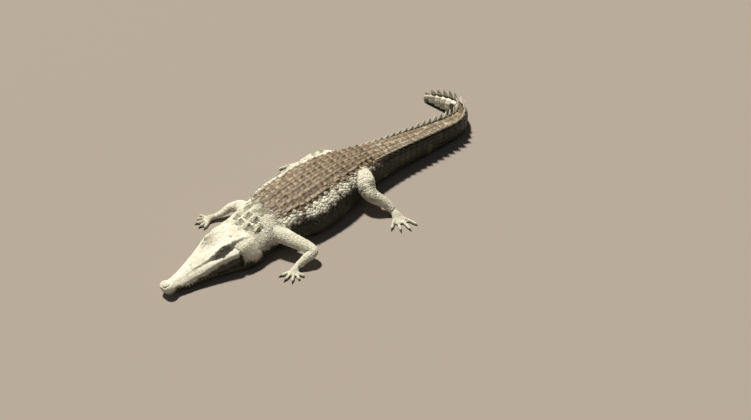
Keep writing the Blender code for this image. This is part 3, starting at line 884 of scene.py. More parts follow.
def plateTemplate(kind):
    # points (along, aside, height, share of the keel) and faces of one squarish plate
    xs, ys, power = plateLines[kind]
    points, faces = [], []
    for x in xs:
        for y in ys:
            far = max(abs(x), abs(y))
            pull = far / (abs(x) ** power + abs(y) ** power) ** (1 / power) if far else 1.0
            edge = far >= 1
            ridge = max(0.0, 1 - abs(y) / 0.85) ** 2.4
            rise = min(max((x + 0.95) / 1.35, 0), 1) ** 0.8 * min(max((0.99 - x) / 0.26, 0), 1)
            height = -0.6 if edge else 0.45 if far > 0.91 else 0.8 + 0.2 * (1 - far)
            points.append((x * pull, y * pull, height, 0.0 if edge else ridge * (0.10 + 0.90 * rise)))
    wide = len(ys)
    for i in range(len(xs) - 1):
        for j in range(wide - 1):
            a = i * wide + j
            faces += [(a, a + wide, a + wide + 1), (a, a + wide + 1, a + 1)]
    return np.array(points), np.array(faces)[:, ::-1]


def fitOutlines(cells, surface, kind):
    # how far each scale reaches in each direction before it meets its neighbours, metres
    count = roundCount[kind]
    spots = np.array([(c["along"] * surface.metres, c["arc"]) for c in cells])
    half = np.array([(c["long"], c["wide"]) for c in cells])
    size = np.array([c["share"] for c in cells])
    tree = KDTree(len(spots))
    for i, (u, v) in enumerate(spots):
        tree.insert((u, v, 0), i)
    tree.balance()
    many = min(12, len(spots) - 1)
    near = np.array([[n[1] for n in tree.find_n((u, v, 0), many + 1)][1:] for u, v in spots])
    away = spots[near] - spots[:, None]
    gap = np.maximum(np.linalg.norm(away, axis=2), 1e-6)
    reach = gap * size[:, None] / (size[:, None] + size[near])
    angles = roundAngles(count, 0.5)
    ways = np.stack([np.cos(angles), np.sin(angles)], axis=1)
    lean = (away @ ways.T) / gap[..., None]
    limits = np.where(lean > 0.1, reach[..., None] / np.maximum(lean, 0.1), 1.0).min(axis=1)
    own = 1.3 / np.hypot(ways[:, 0] / half[:, :1], ways[:, 1] / half[:, 1:])
    limits = np.minimum(limits, own)
    rounded = (np.roll(limits, 1, axis=1) + 3 * limits + np.roll(limits, -1, axis=1)) / 5
    return np.minimum(limits, rounded) * coatShape["fill"] - 0.0002


def bladeTemplate():
    # a flap of the tail's crest: along, aside and height, all as shares
    levels, chord = 7, 10
    points, faces = [], []
    angles = roundAngles(chord)
    for i in range(levels):
        t = i / (levels - 1)
        half = (1 - t**2.2) * 0.92 + 0.08
        thick = 1 - 0.85 * t
        for x, y in zip(np.cos(angles), np.sin(angles)):
            points.append((x * half + 0.75 * t * t, y * thick, t * (1 - 0.04 * x * x), 0.0))
    for i in range(levels - 1):
        for j in range(chord):
            k = (j + 1) % chord
            low, high = i * chord, (i + 1) * chord
            faces += [(low + j, low + k, high + k), (low + j, high + k, high + j)]
    top = (levels - 1) * chord
    points.append((0.80, 0.0, 1.0, 0.0))
    faces += [(top + j, top + (j + 1) % chord, len(points) - 1) for j in range(chord)]
    return np.array(points), np.array(faces)


atlas = {"body": (0.01, 0.01, 0.98, 0.47), "head": (0.01, 0.50, 0.42, 0.28)}  # left, low, width, height


def atlasPlace(surface, along, turn):
    # where a spot of the skin lies on its flat unwrap
    left, low, width, height = atlas[surface.name]
    share = (along - surface.start) / max(surface.end - surface.start, 1e-9)
    around = (turn + 0.5) % 1.0  # the seam runs under the belly
    return np.stack([left + width * np.clip(share, 0, 1), low + height * around], axis=-1)


def nameAtlas(surfaces):
    small = [name for name in surfaces if name not in atlas]
    for i, name in enumerate(small):
        column, row = i % 10, i // 10
        atlas[name] = (0.45 + 0.055 * column, 0.50 + 0.10 * row, 0.045, 0.085)


def layPieces(surface, cells, kind, skinTree, sink=0.0, reach=0.007, blend=None):
    # points, faces, tops, marks and unwrap places of the small pieces that stand on one form
    fitted, blade = kind in plateRims, kind == "blade"
    template, faces = bladeTemplate() if blade else roundTemplate(kind) if fitted else plateTemplate(kind)
    cell = {key: np.array([c.get(key, 0.0) for c in cells])[:, None]
            for key in ("along", "arc", "long", "wide", "lift", "keel", "spin", "tilt")}
    rootTurn = cell["arc"] / surface.girth(cell["along"])
    roots = surface.place(cell["along"], rootTurn)[:, 0]
    found = np.array([skinTree.find_nearest(Vector(r))[0] for r in roots])
    kept = np.linalg.norm(found - roots, axis=1) < reach
    dx, dy = template[:, 0] * cell["long"], template[:, 1] * cell["wide"]
    if fitted:
        outline = np.tile(fitOutlines(cells, surface, kind), (1, len(plateRims[kind])))
        outline = np.hstack([outline, np.zeros((len(cells), 1))])
        dx, dy = template[:, 0] * outline, template[:, 1] * outline
    c, s = np.cos(cell["spin"]), np.sin(cell["spin"])
    along = cell["along"] + (dx * c - dy * s) / surface.metres
    turn = (cell["arc"] + dx * s + dy * c) / surface.girth(along)
    height = template[:, 2] * cell["lift"] + template[:, 3] * cell["keel"] - sink
    points, normals = surface.place(along, turn), surface.outward(along, turn)
    # height on the scale, which sets how much painted shade it gets at its sunk edge
    top = np.clip((template[:, 2] + 0.8) / 1.8, 0, 1)
    if blade:
        normals = normals * cell["tilt"][..., None] + np.array([0, 0, 1.0]) * (1 - cell["tilt"][..., None])
        normals /= np.linalg.norm(normals, axis=-1, keepdims=True)
        # painted shade: the crest's flaps darken towards their roots
        top = 0.25 + 0.75 * smoothStep(template[:, 2], 0.1, 0.75)
    points, normals, height = (points + (found - roots)[:, None])[kept], normals[kept], height[kept]
    if not blade:
        # every point stands on the skin itself, so the coat follows its folds
        on = [skinTree.find_nearest(Vector(p))[0] for p in points.reshape(-1, 3)]
        points = np.array(on).reshape(points.shape)
    wear = speckle(points, 7, 9).reshape(height.shape) * 0.0006 if kind == "scute" else 0
    points = points + normals * (height + wear * (template[:, 2] > 0))[..., None]
    points[..., 2] = np.maximum(points[..., 2], 0.0004)
    count = len(points)
    marks = marking(surface, cell["along"][:, 0], cell["arc"][:, 0], roots)[kept]
    if blend:
        marks = marks * 0.3 + np.array(blend)
    tone = np.array([c["tone"] for c in cells])[kept]
    marks = np.repeat(np.concatenate([marks, tone[:, None]], axis=1), len(template), axis=0)
    if kind == "scute":
        # the keels are worn pale, the plates' flats keep their tan
        marks[:, 0] = np.clip(marks[:, 0] - 0.10 + 0.42 * np.tile(template[:, 3], count), 0, 1)
    if blade:
        # the crest's upper parts are painted pale, partly dried-out skin and partly painted light on the
        # flaps
        pale = np.tile(smoothStep(template[:, 2], 0.10, 0.60), count)
        marks[:, 0] = np.clip(marks[:, 0] * 0.4 + pale, 0, 1)
        marks[:, 1:3] *= (1 - pale)[:, None]
    faces = (faces[None] + (np.arange(count) * len(template))[:, None, None]).reshape(-1, 3)
    # each piece has a small patch of the atlas at its root
    patch = np.clip(template[:, :2], -1, 1) * 0.0015
    root = atlasPlace(surface, cell["along"][:, 0], rootTurn[:, 0])[kept]
    return points.reshape(-1, 3), faces, np.tile(top, count), marks, (root[:, None] + patch).reshape(-1, 2)


def makeCoat(name, slot, *layers):
    # many small pieces as one mesh; a layer is a form, its cells, their kind and any other settings
    stacks, size = [], 0
    for surface, cells, kind, *settings in layers:
        if cells:
            points, faces, *rest = layPieces(surface, cells, kind, skinTree, *settings)
            stacks.append((points, faces + size, *rest))
            size += len(points)
    points, faces, shadeHeights, marks, places = [np.concatenate(parts) for parts in zip(*stacks)]
    piece = newObject(name, points, faces.tolist())
    setMarks(piece.data, shadeHeights, marks)
    layer = piece.data.uv_layers.new(name="OFBake")
    layer.data.foreach_set("uv", places[faces.reshape(-1)].astype(np.float32).reshape(-1))
    dress(piece, hide)
    piece.data.set_sharp_from_angle(angle=math.radians(50))
    print(name, len(faces), "triangles")


def setMarks(mesh, top, marks):
    # marks: dried mud, tan of the back, olive blotch, tone; top is a point's height on its scale, which sets
    # the painted shade in the gaps
    for name, values in (("top", top), ("mud", marks[:, 0]), ("back", marks[:, 1]),
                         ("olive", marks[:, 2]), ("tone", marks[:, 3])):
        layer = mesh.attributes.new(name, "FLOAT", "POINT")
        layer.data.foreach_set("value", np.asarray(values, np.float32))


markShape = {
    "wideMm": 110, "smallMm": 38,  # across the blobs of mud
    # distance along, distance aside and reach: dark spots of the skull, partly painted shade in its dents, by
    # the far eye, at the ear and the table's rear corner, partly bare patches; olive blots of the neck
    "darkSpots": [(0.945, -0.015, 0.013), (0.950, -0.045, 0.014), (0.78, 0.150, 0.014), (0.90, 0.165, 0.017),
             (0.985, 0.125, 0.014), (0.60, 0.045, 0.012), (0.52, 0.02, 0.010)],
    "blots": [(0.40, 0.18, 0.06), (0.51, 0.14, 0.05), (0.45, 0.0, 0.045), (0.47, -0.08, 0.04),
              (0.19, -0.12, 0.035), (0.28, -0.16, 0.04)],
    "socket": ((0.67, 0.116), (0.845, 0.132)),  # the hollow under the brow, painted dark as its shade, partly darker skin round the eye
    # how much mud lies on each part, and how much less on its bare places; the jaw's, the brow hollow's, the
    # skull's dark spots' and the tail side's amounts also paint shade, the curl's paints sunlight
    "headMud": 1.0, "jawBareAndShade": 0.92, "jowlBare": 0.10, "jowlLowBare": 0.70, "darkSpotsBare": 0.42,
    "socketBare": 0.40,
    "neckMud": 0.74, "backMud": 0.12, "edgeMud": 0.54, "neckLowBare": 0.62, "napeBare": 0.22,
    "tailMud": 0.14, "tailSideBareAndShade": 0.30, "curlPaintedLight": 0.8, "throatMud": 0.70, "bellyMud": 0.66,
    "footMud": 0.72, "legMud": 0.92,
}


def spotted(spots, along, aside):
    return sum(bump(np.hypot(along - a, aside - b), 0.0, r) for a, b, r in spots)


def marking(surface, along, arc, points):
    # mud, tan and olive at places of the skin; the scales ask the same function
    name, amounts = surface.name, markShape
    turn = abs(arc) / surface.girth(along)  # 0 on the back, 0.5 under the belly
    mud, back, olive = np.zeros((3, len(points)))
    wide, small = speckle(points, amounts["wideMm"], 1), speckle(points, amounts["smallMm"], 2)
    height = points[:, 2] / headLength
    if name == "head":
        aside = headPlaces(points)[1]
        cheek = smoothBetween(headShape["skull"], along)
        # below the cheek line the head loses its mud and darkens: partly darker hide, partly painted shade on
        # its sides
        low = (1 - smoothStep(height + 0.02 * small, cheek[:, 4] - 0.075, cheek[:, 4] - 0.01))
        low = low * smoothStep(along, 0.05, 0.16)
        jowl = smoothStep(along, 0.88, 0.92) * smoothStep(turn, 0.12, 0.20)
        low = low * (1 - jowl)
        under = jowl * (1 - smoothStep(height + 0.03 * small + 0.02 * wide, 0.06, 0.17))
        # dark spots of the skull: partly painted shade, partly bare patches
        darkSpots = spotted(amounts["darkSpots"], along, aside)
        # painted shade in the hollow under the brow, partly darker skin round the eye
        socket = lineBump(along, abs(aside), *amounts["socket"], 0.017)
        socket = smoothStep(socket + 0.1 * small, 0.1, 0.9)
        mud = amounts["headMud"] - amounts["jawBareAndShade"] * low - amounts["jowlBare"] * jowl \
            - amounts["jowlLowBare"] * under + 0.10 * wide
        mud = mud - amounts["darkSpotsBare"] * smoothStep(darkSpots + 0.2 * small, 0.15, 0.9) \
            - amounts["socketBare"] * socket
        back = 0.25 * jowl * (1 - under)
        olive = 0.35 * low + 0.5 * smoothStep(small + wide, 0.45, 0.9) + 0.45 * socket \
            + 0.5 * smoothStep(darkSpots, 0.2, 0.9)
        pale = smoothStep(turn + 0.012 * wide, 0.37, 0.42)
        paleMud = amounts["throatMud"] + 0.1 * small
    elif name == "body":
        aside = -arc / headLength
        neck = 1 - smoothStep(along + 0.05 * wide + 0.03 * small, 0.42, 0.58)
        tail = smoothStep(along, 1.9, 2.2)
        # the tail's sides lose their tan and some mud: partly bare hide, partly painted shade
        tailSide = tail * smoothStep(turn, 0.10, 0.135)
        top = 1 - smoothStep(turn + 0.012 * small, 0.125, 0.165)
        edge = bump(turn, 0.165, 0.035)
        flank = smoothStep(turn, 0.21, 0.29)
        ahead = 1 - smoothStep(along, 1.75, 2.0)
        under = neck * (1 - smoothStep(height + 0.03 * small + 0.02 * wide, 0.07, 0.18))
        sunlitCurl = smoothStep(along, 3.75, 4.0) * (arc < 0)  # painted sunlight: one side of the tail's end is painted pale as if sunlit
        nape = bump(along, 0.24, 0.17) * (1 - smoothStep(abs(aside) + 0.04 * small, 0.20, 0.27))
        back = (top + 0.3 * edge) * (1 - neck) * (1 - tailSide) + 0.5 * nape
        mud = amounts["neckMud"] * neck + (1 - neck) * (
            amounts["backMud"] + (amounts["edgeMud"] + 0.60 * wide) * edge * ahead - 0.1 * flank)
        mud = mud + 0.22 * small + 0.42 * edge * small + 0.12 * neck * wide
        mud = mud + tail * (amounts["tailMud"] - amounts["tailSideBareAndShade"] * tailSide) \
            - amounts["neckLowBare"] * under
        # painted sunlight on one side of the tail's end
        mud = mud + amounts["curlPaintedLight"] * sunlitCurl * (1 - smoothStep(turn, 0.33, 0.42))
        mud = mud - amounts["napeBare"] * nape * (0.35 + 1.6 * small)
        blot = spotted(amounts["blots"], along, aside)
        olive = smoothStep(wide + 0.5 * small, 0.15, 0.4) * (0.5 * neck + 0.5 * flank + 0.25 * tail)
        olive = olive + neck * smoothStep(blot + 0.3 * small, 0.35, 0.6)
        pale = smoothStep(turn + 0.012 * wide - 0.07 * tail, 0.35, 0.39)  # the belly is light
        paleMud = amounts["bellyMud"] + 0.1 * small
    else:
        pale = paleMud = 0.0
        if "toe" in name or "palm" in name or "web" in name:
            mud = amounts["footMud"] + 0.2 * small
            olive = 0.15 + 0.2 * wide
        else:
            mud = amounts["legMud"] + 0.15 * small
            if name.startswith("hindleg"):
                olive = smoothStep(wide + 0.4 * small, 0.02, 0.25) * bump(along, 0.30, 0.22)
    bare = 1 - pale
    return np.clip(np.stack([mud * bare + paleMud * pale, back * bare, olive * bare], axis=1), 0, 1)


def markSkin(skin, surfaces):
    # each point of the skin takes its marks from the nearest form
    places, owners = [], []
    for name, surface in surfaces.items():
        along, turn = surface.grid()
        for i in range(0, surface.count, 2):
            for j in range(0, surface.around, 2):
                places.append(surface.rings[i, j])
                owners.append((name, along[i, j], turn[i, j]))
    tree = KDTree(len(places))
    for i, place in enumerate(places):
        tree.insert(place, i)
    tree.balance()
    points = pointsOf(skin.data)
    owner = [owners[tree.find(p)[1]] for p in points]
    marks = np.zeros((len(points), 4))
    marks[:, 3] = 0.5
    names = np.array([o[0] for o in owner])
    along = np.array([o[1] for o in owner])
    turn = np.array([o[2] for o in owner])
    for name, surface in surfaces.items():
        mine = np.flatnonzero(names == name)
        if len(mine):
            signed = np.where(turn[mine] > 0.5, turn[mine] - 1, turn[mine])
            arc = signed * surface.girth(along[mine])
            marks[mine, :3] = marking(surface, along[mine], arc, points[mine])
    # the skin between scales lies deeper than their crowns, so it takes more of the painted gap shade
    gapShadeLevel = np.where(names == "head", 0.62, np.where(names == "body", 0.35, 0.46))
    setMarks(skin.data, gapShadeLevel, marks)


coatShape = {
    "neckScaleMm": 14.0,
    "flankScaleMm": 20.0,
    "bellyScaleMm": 32.0,
    "legScaleMm": 13.5,
    "footScaleMm": 8.5,
    "toeScaleMm": 7.0,
    "jowlScaleMm": 10.5,
    "faceScaleMm": 10.0,
    "throatScaleMm": 15.0,
    "spread": 0.18,  # of the scales' sizes
    "fill": 0.95,  # of the room between its neighbours that a scale takes
}


def arcAtAside(surface, along, aside):
    # how far round from the midline the body lies at a distance aside, in metres
    turns = np.linspace(0, 0.3, 60)
    x, y = spineRoute.point(along)
    middle = toWorld([x, y, 0])[:2]
    p = surface.place(np.full(60, along), turns)
    gaps = np.linalg.norm(p[:, :2] - middle, axis=1)
    return float(np.interp(aside, gaps, turns)) * float(surface.girth(along))


def arcAtShare(surface, along, share):
    half = smoothBetween(bodyShape["sections"], along)[0][0] * headLength
    return arcAtAside(surface, along, share * half)


def mosaic(surface, start, end, sizeMm, low, high, lift, jitter=0.30, squash=1.0, large=0.0):
    # scattered scales between two shares of the way round, on both sides; some may be large and keeled
    size = sizeMm / 1000
    cells = []
    rows = max(int((end - start) * surface.metres / (size * squash * 0.9)), 1)
    for r in range(rows):
        at = start + (end - start) * (r + 0.5) / rows
        girth = float(surface.girth(at))
        count = max(int(round((high - low) * girth / size)), 1)
        for side in (1, -1):
            for k in range(count + r % 2):
                place = low + (high - low) * (k + 0.5 * (1 - r % 2)) / count
                if side < 0 and place < 0.4 / max(girth / size, 1):
                    continue
                shake = dice.normal(0, jitter, 2)
                grown = large > 0 and dice.random() < large
                share = size * max(1 + coatShape["spread"] * dice.normal(), 0.5) * (1.9 if grown else 1)
                cells.append({
                    "along": at + np.clip(shake[0], -0.5, 0.5) * size * squash * 0.8 / surface.metres,
                    "arc": side * (place * girth) + np.clip(shake[1], -0.5, 0.5) * size * 0.8,
                    "long": size * squash * (0.95 if grown else 0.62),
                    "wide": size * (0.8 if grown else 0.62),
                    "share": share, "lift": lift * (0.75 + 0.5 * dice.random()) * (1.7 if grown else 1),
                    "tone": dice.random(),
                })
    return cells


def squareRows(surface, start, end, sizeMm, low, high, squash):
    # squarish scales in straight rows, as under the belly
    size = sizeMm / 1000
    cells = []
    rows = max(int((end - start) * surface.metres / (size * squash)), 1)
    for r in range(rows):
        along = start + (end - start) * (r + 0.5) / rows
        girth = float(surface.girth(along))
        count = max(int((high - low) * girth / size), 1)
        for side in (1, -1):
            for k in range(count):
                cells.append({
                    "along": along, "arc": side * girth * (low + (high - low) * (k + 0.5) / count),
                    "long": size * squash * 0.49, "wide": (high - low) * girth / count * 0.48,
                    "lift": 0.0020, "tone": dice.random(),
                })
    return cells


def clearOf(cells, large, surface):
    # the small scales that large plates leave room for
    kept = []
    for c in cells:
        if all(((c["along"] - g["along"]) * surface.metres / g["long"]) ** 4
               + ((c["arc"] - g["arc"]) / g["wide"]) ** 4 > 1.15 for g in large):
            kept.append(c)
    return kept


napeShape = {
    "marks": (0.34, 0.30, 0.42),  # more bare and olive than the hide round them
    # distance behind the skull, distance aside, half length and half width in millimetres, keel
    "scutes": [(0.055, 0.040, 15, 14, 6), (0.075, 0.115, 14, 14, 6), (0.175, 0.062, 33, 30, 23),
               (0.295, 0.058, 31, 28, 21), (0.225, 0.165, 30, 25, 19), (0.395, 0.055, 17, 20, 8)],
}


def napeCells(body):
    cells = []
    for along, aside, long, wide, keel in napeShape["scutes"]:
        for side in (1, -1):
            cells.append({
                "along": along + dice.normal(0, 0.004),
                "arc": side * arcAtAside(body, along, aside * headLength),
                "long": long / 1000, "wide": wide / 1000, "lift": 0.0045, "keel": keel / 1000,
                "spin": dice.normal(0, 0.08), "tone": dice.random(),
            })
    return cells


shieldShape = {
    "from": 0.52, "to": 2.00,  # behind the skull
    "wideFrom": 0.62, "wideTo": 1.72,  # where it is six plates wide, not four
    "long": 0.088,  # of one plate, with its share of the joint
    "width": 0.66,  # of the body's
    "keelMm": 14.0,
    "outerKeelMm": 18.0,
    "missing": 0.12,  # of the outermost plates
}


def shieldCells(body):
    shield = shieldShape
    cells = []
    rows = int(round((shield["to"] - shield["from"]) / shield["long"]))
    for r in range(rows):
        along = shield["from"] + shield["long"] * (r + 0.5)
        columnsHere = 6 if shield["wideFrom"] < along < shield["wideTo"] else 4
        edge = arcAtShare(body, along, shield["width"])
        width = edge / (columnsHere / 2)
        for side in (1, -1):
            for k in range(columnsHere // 2):
                outer = k == columnsHere // 2 - 1
                shrunk = 0.78 + 0.22 * dice.random() if outer else 1.0
                if outer and dice.random() < shield["missing"]:
                    continue
                cells.append({
                    "along": along + dice.normal(0, 0.003) + 0.004 * (k - 1),
                    "arc": side * width * (k + 0.5), "long": shield["long"] * headLength * 0.50 * shrunk,
                    "wide": width * (0.485 + 0.015 * dice.random()) * shrunk, "lift": 0.0032,
                    "spin": dice.normal(0, 0.035), "tone": dice.random(),
                    "keel": shield["outerKeelMm" if outer else "keelMm"] / 1000
                    * (0.85 + 0.3 * dice.random()),
                })
    return cells


crestShape = {
    "doubleFrom": 2.02, "closesFrom": 3.40, "singleFrom": 3.84, "to": 4.44,  # behind the skull
    "whorl": 0.091,  # from one ring of plates to the next
    "height": 0.098, "singleHeight": 0.155,
    "thickMm": 6.5, "singleThickMm": 8.5,
    "lean": 0.65,  # of the double crest's flaps, outwards
}


def whorlCells(body):
    # the tail's rings: plates on top and sides, and the crest's flaps
    crest = crestShape
    first, closes, single, end = [crest[k] for k in ("doubleFrom", "closesFrom", "singleFrom", "to")]
    plates, blades = [], []
    long = crest["whorl"] * headLength
    for r in range(int((end - first) / crest["whorl"])):
        along = first + crest["whorl"] * (r + 0.5)
        half = float(body.girth(along)) / 2
        double = along < single
        if double:
            grown = min((along - first) / 1.2, 1.0)
            closing = max(0.0, (along - closes) / (single - closes))
            row = arcAtShare(body, along, 0.68 - 0.48 * closing)
            tall = (0.25 + 0.75 * grown) * crest["height"] * headLength
        else:
            lower = (along - single) / (end - single)
            tall = crest["singleHeight"] * headLength * (1 - 0.5 * lower)
            tall *= min((end - along) / 0.22, 1.0) ** 0.7
            row = 0.0
        for side in ((1, -1) if double else (1,)):
            blades.append({
                "along": along - 0.006, "arc": side * row, "long": long * 0.50,
                "wide": crest["thickMm" if double else "singleThickMm"] / 1000,
                "lift": tall * (0.93 + 0.1 * dice.random()),
                "tilt": crest["lean"] if double else 0.0, "tone": dice.random(),
            })
        if row > 0.03:
            across = max(int(round(2 * row / 0.05)), 1)
            for k in range(across):
                plates.append({
                    "along": along, "arc": -row + 2 * row * (k + 0.5) / across, "long": long * 0.50,
                    "wide": row / across * 0.97, "lift": 0.0030, "keel": 0.002, "tone": dice.random(),
                })
        below = half - row
        rings = max(int(round(below / 0.036)), 2)
        for side in (1, -1):
            for k in range(rings):
                keeled = k == 0 and along < 3.2
                plates.append({
                    "along": along, "arc": side * (row + below * (k + 0.5) / rings),
                    "long": long * 0.50, "wide": below / rings * 0.49, "lift": 0.0032,
                    "keel": 0.0050 if keeled else 0.0012, "tone": dice.random(),
                })
    return plates, blades


def frameAt(centre, forward, outward):
    # three axes at a place: forward, up and outward
    outward = np.array(outward) / np.linalg.norm(outward)
    forward = np.array(forward) - outward * np.dot(forward, outward)
    forward /= np.linalg.norm(forward)
    return np.array(centre), forward, np.cross(outward, forward), outward


def eyeFrame(side):
    centre = toWorld(headPlace(eyeShape["along"], side * eyeShape["side"], eyeShape["height"]))
    return frameAt(centre, (-1, 0, 0), (-0.20, side * 0.93, 0.30))


def makeEye(name, side, material):
    centre, forward, up, outward = eyeFrame(side)
    radius = eyeShape["radius"] * headLength * eyeShape["bare"]
    angle = np.linspace(0, math.pi, 25)[:, None, None]
    turn = roundAngles(40)[:, None]
    bulge = 1 + 0.05 * np.exp(-((angle / 0.45) ** 2))  # the clear front stands out a little
    ways = outward * np.cos(angle) + (forward * np.cos(turn) + up * np.sin(turn)) * np.sin(angle)
    eye = newObject(name, *tubeMesh(centre + ways * radius * bulge))
    tidy(eye.data)
    # shares of the eye's radius, for the iris and its slit
    p = (pointsOf(eye.data) - centre) / radius
    for key, axis in (("across", forward), ("upward", up)):
        layer = eye.data.attributes.new(key, "FLOAT", "POINT")
        layer.data.foreach_set("value", (p @ axis).astype(np.float32))
    dress(eye, material)
    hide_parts(name)


def tidy(mesh):
    # doubled points joined, loose ones gone, faces looking outward
    work = bmesh.new()
    work.from_mesh(mesh)
    bmesh.ops.remove_doubles(work, verts=work.verts, dist=0.00001)
    loose = [v for v in work.verts if not v.link_faces]
    bmesh.ops.delete(work, geom=loose, context="VERTS")
    bmesh.ops.recalc_face_normals(work, faces=work.faces)
    work.to_mesh(mesh)
    work.free()


lidShape = {"openAcross": 0.95, "openUp": 0.34, "openLow": 0.40, "thickMm": 2.4, "hoodMm": 4.0}


def makeLids(side, skinTree):
    # folded skin round the eye's opening, which runs out onto the head
    centre, forward, up, outward = eyeFrame(side)
    radius = eyeShape["radius"] * headLength
    around, rows = 64, 14
    points, shadeHeights = [], []
    for i in range(rows):
        t = i / (rows - 1)
        for j in range(around):
            turn = 2 * math.pi * j / around
            c, s = math.cos(turn), math.sin(turn)
            high = lidShape["openUp"] if s > 0 else lidShape["openLow"]
            edge = 1 / math.hypot(c / lidShape["openAcross"], s / high)
            angle = edge + (1.45 - edge) * t
            hood = max(s, 0) ** 0.7 * lidShape["hoodMm"] * bump(t, 0.45, 0.35)
            fold = 0.45 * math.sin(t * 21 + 2.0 * s) * abs(s) ** 0.5 * bump(t, 0.35, 0.35)
            thick = lidShape["thickMm"] * min(t * 7 + 0.25, 1) + hood + fold - 3.5 * max(t - 0.6, 0)
            way = outward * math.cos(angle) + (forward * c + up * s) * math.sin(angle)
            point = centre + way * (radius + thick / 1000)
            spot = centre + (forward * c * 1.95 + up * s * (1.25 if s > 0 else 1.55)) * radius
            landed, facing = skinTree.find_nearest(Vector(spot))[:2]
            landed = np.array(landed) - np.array(facing) * 0.0012 * t
            onSkin = float(smoothStep(t, 0.40, 1.0))
            points.append(point * (1 - onSkin) + landed * onSkin)
            # painted shade in the lid's creases, in step with its folds
            shadeHeights.append(0.55 + 0.25 * math.sin(t * 21 + 2.0 * s) * abs(s) ** 0.5)
    # the lid's inner lip, just on the eye
    lip = np.array(points[:around])
    inner = centre + (lip - centre) * ((radius - 0.0008) / np.linalg.norm(lip - centre, axis=1))[:, None]
    rings = np.concatenate([inner[None], np.array(points).reshape(rows, around, 3)])
    # painted shade: the inner lip on the eye is darkest, and the edge sunk under the skin is dark too
    shadeHeights = np.concatenate([np.full(around, 0.1), shadeHeights])
    deep = centre + (rings[-1] - centre) * 0.5 - outward * 0.012
    rings = np.concatenate([rings, deep[None]])
    shadeHeights = np.concatenate([shadeHeights, np.full(around, 0.3)])
    return rings, shadeHeights


def makeEyelids(material, skinTree):
    pairs = [makeLids(side, skinTree) for side in (-1, 1)]
    lids = newObject("eyelids", *joined([tubeMesh(rings, looped=True) for rings, _ in pairs]))
    shadeHeights = np.concatenate([shadeHeights for _, shadeHeights in pairs])
    # the lids are darker than the head round them: painted shade under the brow, partly darker skin
    setMarks(lids.data, shadeHeights, np.tile([0.46, 0.0, 0.25, 0.5], (len(shadeHeights), 1)))
    tidy(lids.data)
    dress(lids, material)


nostrilShape = {"along": 0.060, "aside": 0.019, "bendMm": 8.5, "openMm": 2.6, "rimMm": 2.3, "deepMm": 3.0}


def makeNostrils(hide, dark, skinTree):
    # two crescent slits on the nasal disc, which bend round its middle, each with a raised rim; the slits are
    # near-black pieces, painted shade for the openings
    bend, opening, rim, deep = [nostrilShape[key] / 1000 for key in ("bendMm", "openMm", "rimMm", "deepMm")]
    slits, rims = [], []
    for side in (1, -1):
        middle = toWorld(headPlace(nostrilShape["along"], side * nostrilShape["aside"], 0.2))
        ring = []
        for turn in np.linspace(0, 2 * math.pi, 33)[:-1]:
            around = math.cos(turn) * 1.05
            out = bend + opening * math.sin(turn) * (1 - 0.55 * math.cos(turn) ** 4)
            spot = middle + (-out * math.cos(around) + bend * 0.4, out * math.sin(around), 0)
            ring.append(np.array(skinTree.ray_cast(Vector((spot[0], spot[1], 0.4)), Vector((0, 0, -1)))[0]))
        ring = np.array(ring)
        centre = ring.mean(axis=0)
        slits.append(np.array([ring + (0, 0, -deep), ring + (0, 0, 0.0008),
                               centre + (ring - centre) * 0.5 + (0, 0, 0.0006)]))
        loops = []
        for i in range(len(ring)):
            way = ring[(i + 1) % len(ring)] - ring[i - 1]
            way /= np.linalg.norm(way)
            aside = np.cross(way, (0, 0, 1.0))
            loops.append([ring[i] + aside * rim * math.cos(a) + np.array([0, 0, rim * 0.7 * math.sin(a)])
                          for a in np.linspace(0, 2 * math.pi, 9)[:-1]])
        rims.append(tubeMesh(np.array(loops), looped=True))
    # the slits take the painted shade of the openings
    joinTubes("nostrils", slits, dark)
    piece = newObject("nostril_rims", *joined(rims))
    count = len(piece.data.vertices)
    setMarks(piece.data, np.full(count, 0.9), np.tile([0.9, 0.0, 0.1, 0.5], (count, 1)))
    tidy(piece.data)
    dress(piece, hide)


def hornRings(start, out, length, radius, drop, sides=12, rows=10, flat=0.8):
    # a horn that tapers and bends down, as rings
    up = np.array([0, 0, 1.0])
    side = np.cross(out, up if abs(out[2]) < 0.9 else np.array([1.0, 0, 0]))
    side /= np.linalg.norm(side)
    high = np.cross(side, out)
    rings = []
    angles = roundAngles(sides)
    for t in np.linspace(0, 1, rows):
        size = radius * (1 - t**1.7) + 0.0006
        centre = start + out * length * t + up * drop * t * t
        rings.append(centre + side * size * flat * np.cos(angles)[:, None]
                     + high * size * np.sin(angles)[:, None])
    return np.array(rings)


def joinTubes(name, tubes, material):
    piece = newObject(name, *joined([tubeMesh(rings) for rings in tubes]))
    tidy(piece.data)
    dress(piece, material)
    return piece


clawShape = {
    "count": 3,  # on each foot
    "length": 0.046,
    "radius": 0.0120,
    "rise": 0.62,  # of the toe's radius, at the root
    "bare": 0.95,  # of the solid's radius
    "sink": 0.004,
    "drop": -0.0046,
}


def makeClaws(material):
    for name in legShapes:
        tubes = []
        for i in range(clawShape["count"]):
            toe = surfaces[f"{name}_toe_{i + 1}"]
            tip, before = toe.rings[-1].mean(axis=0), toe.rings[-6].mean(axis=0)
            out = (tip - before) * (1, 1, 0)
            out /= np.linalg.norm(out)
            start = tip - out * clawShape["sink"]
            start[2] = toeShape["radius"] * headLength * clawShape["rise"]
            length = clawShape["length"] * headLength + 0.003
            radius = clawShape["radius"] * headLength * clawShape["bare"]
            rings = hornRings(start, out, length, radius, clawShape["drop"])
            rings[..., 2] = np.maximum(rings[..., 2], 0.0003)
            tubes.append(rings)
        claws = joinTubes(name + "_claws", tubes, material)
        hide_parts(*[f"{name}_foot_claw_{i + 1}" for i in range(clawShape["count"])])


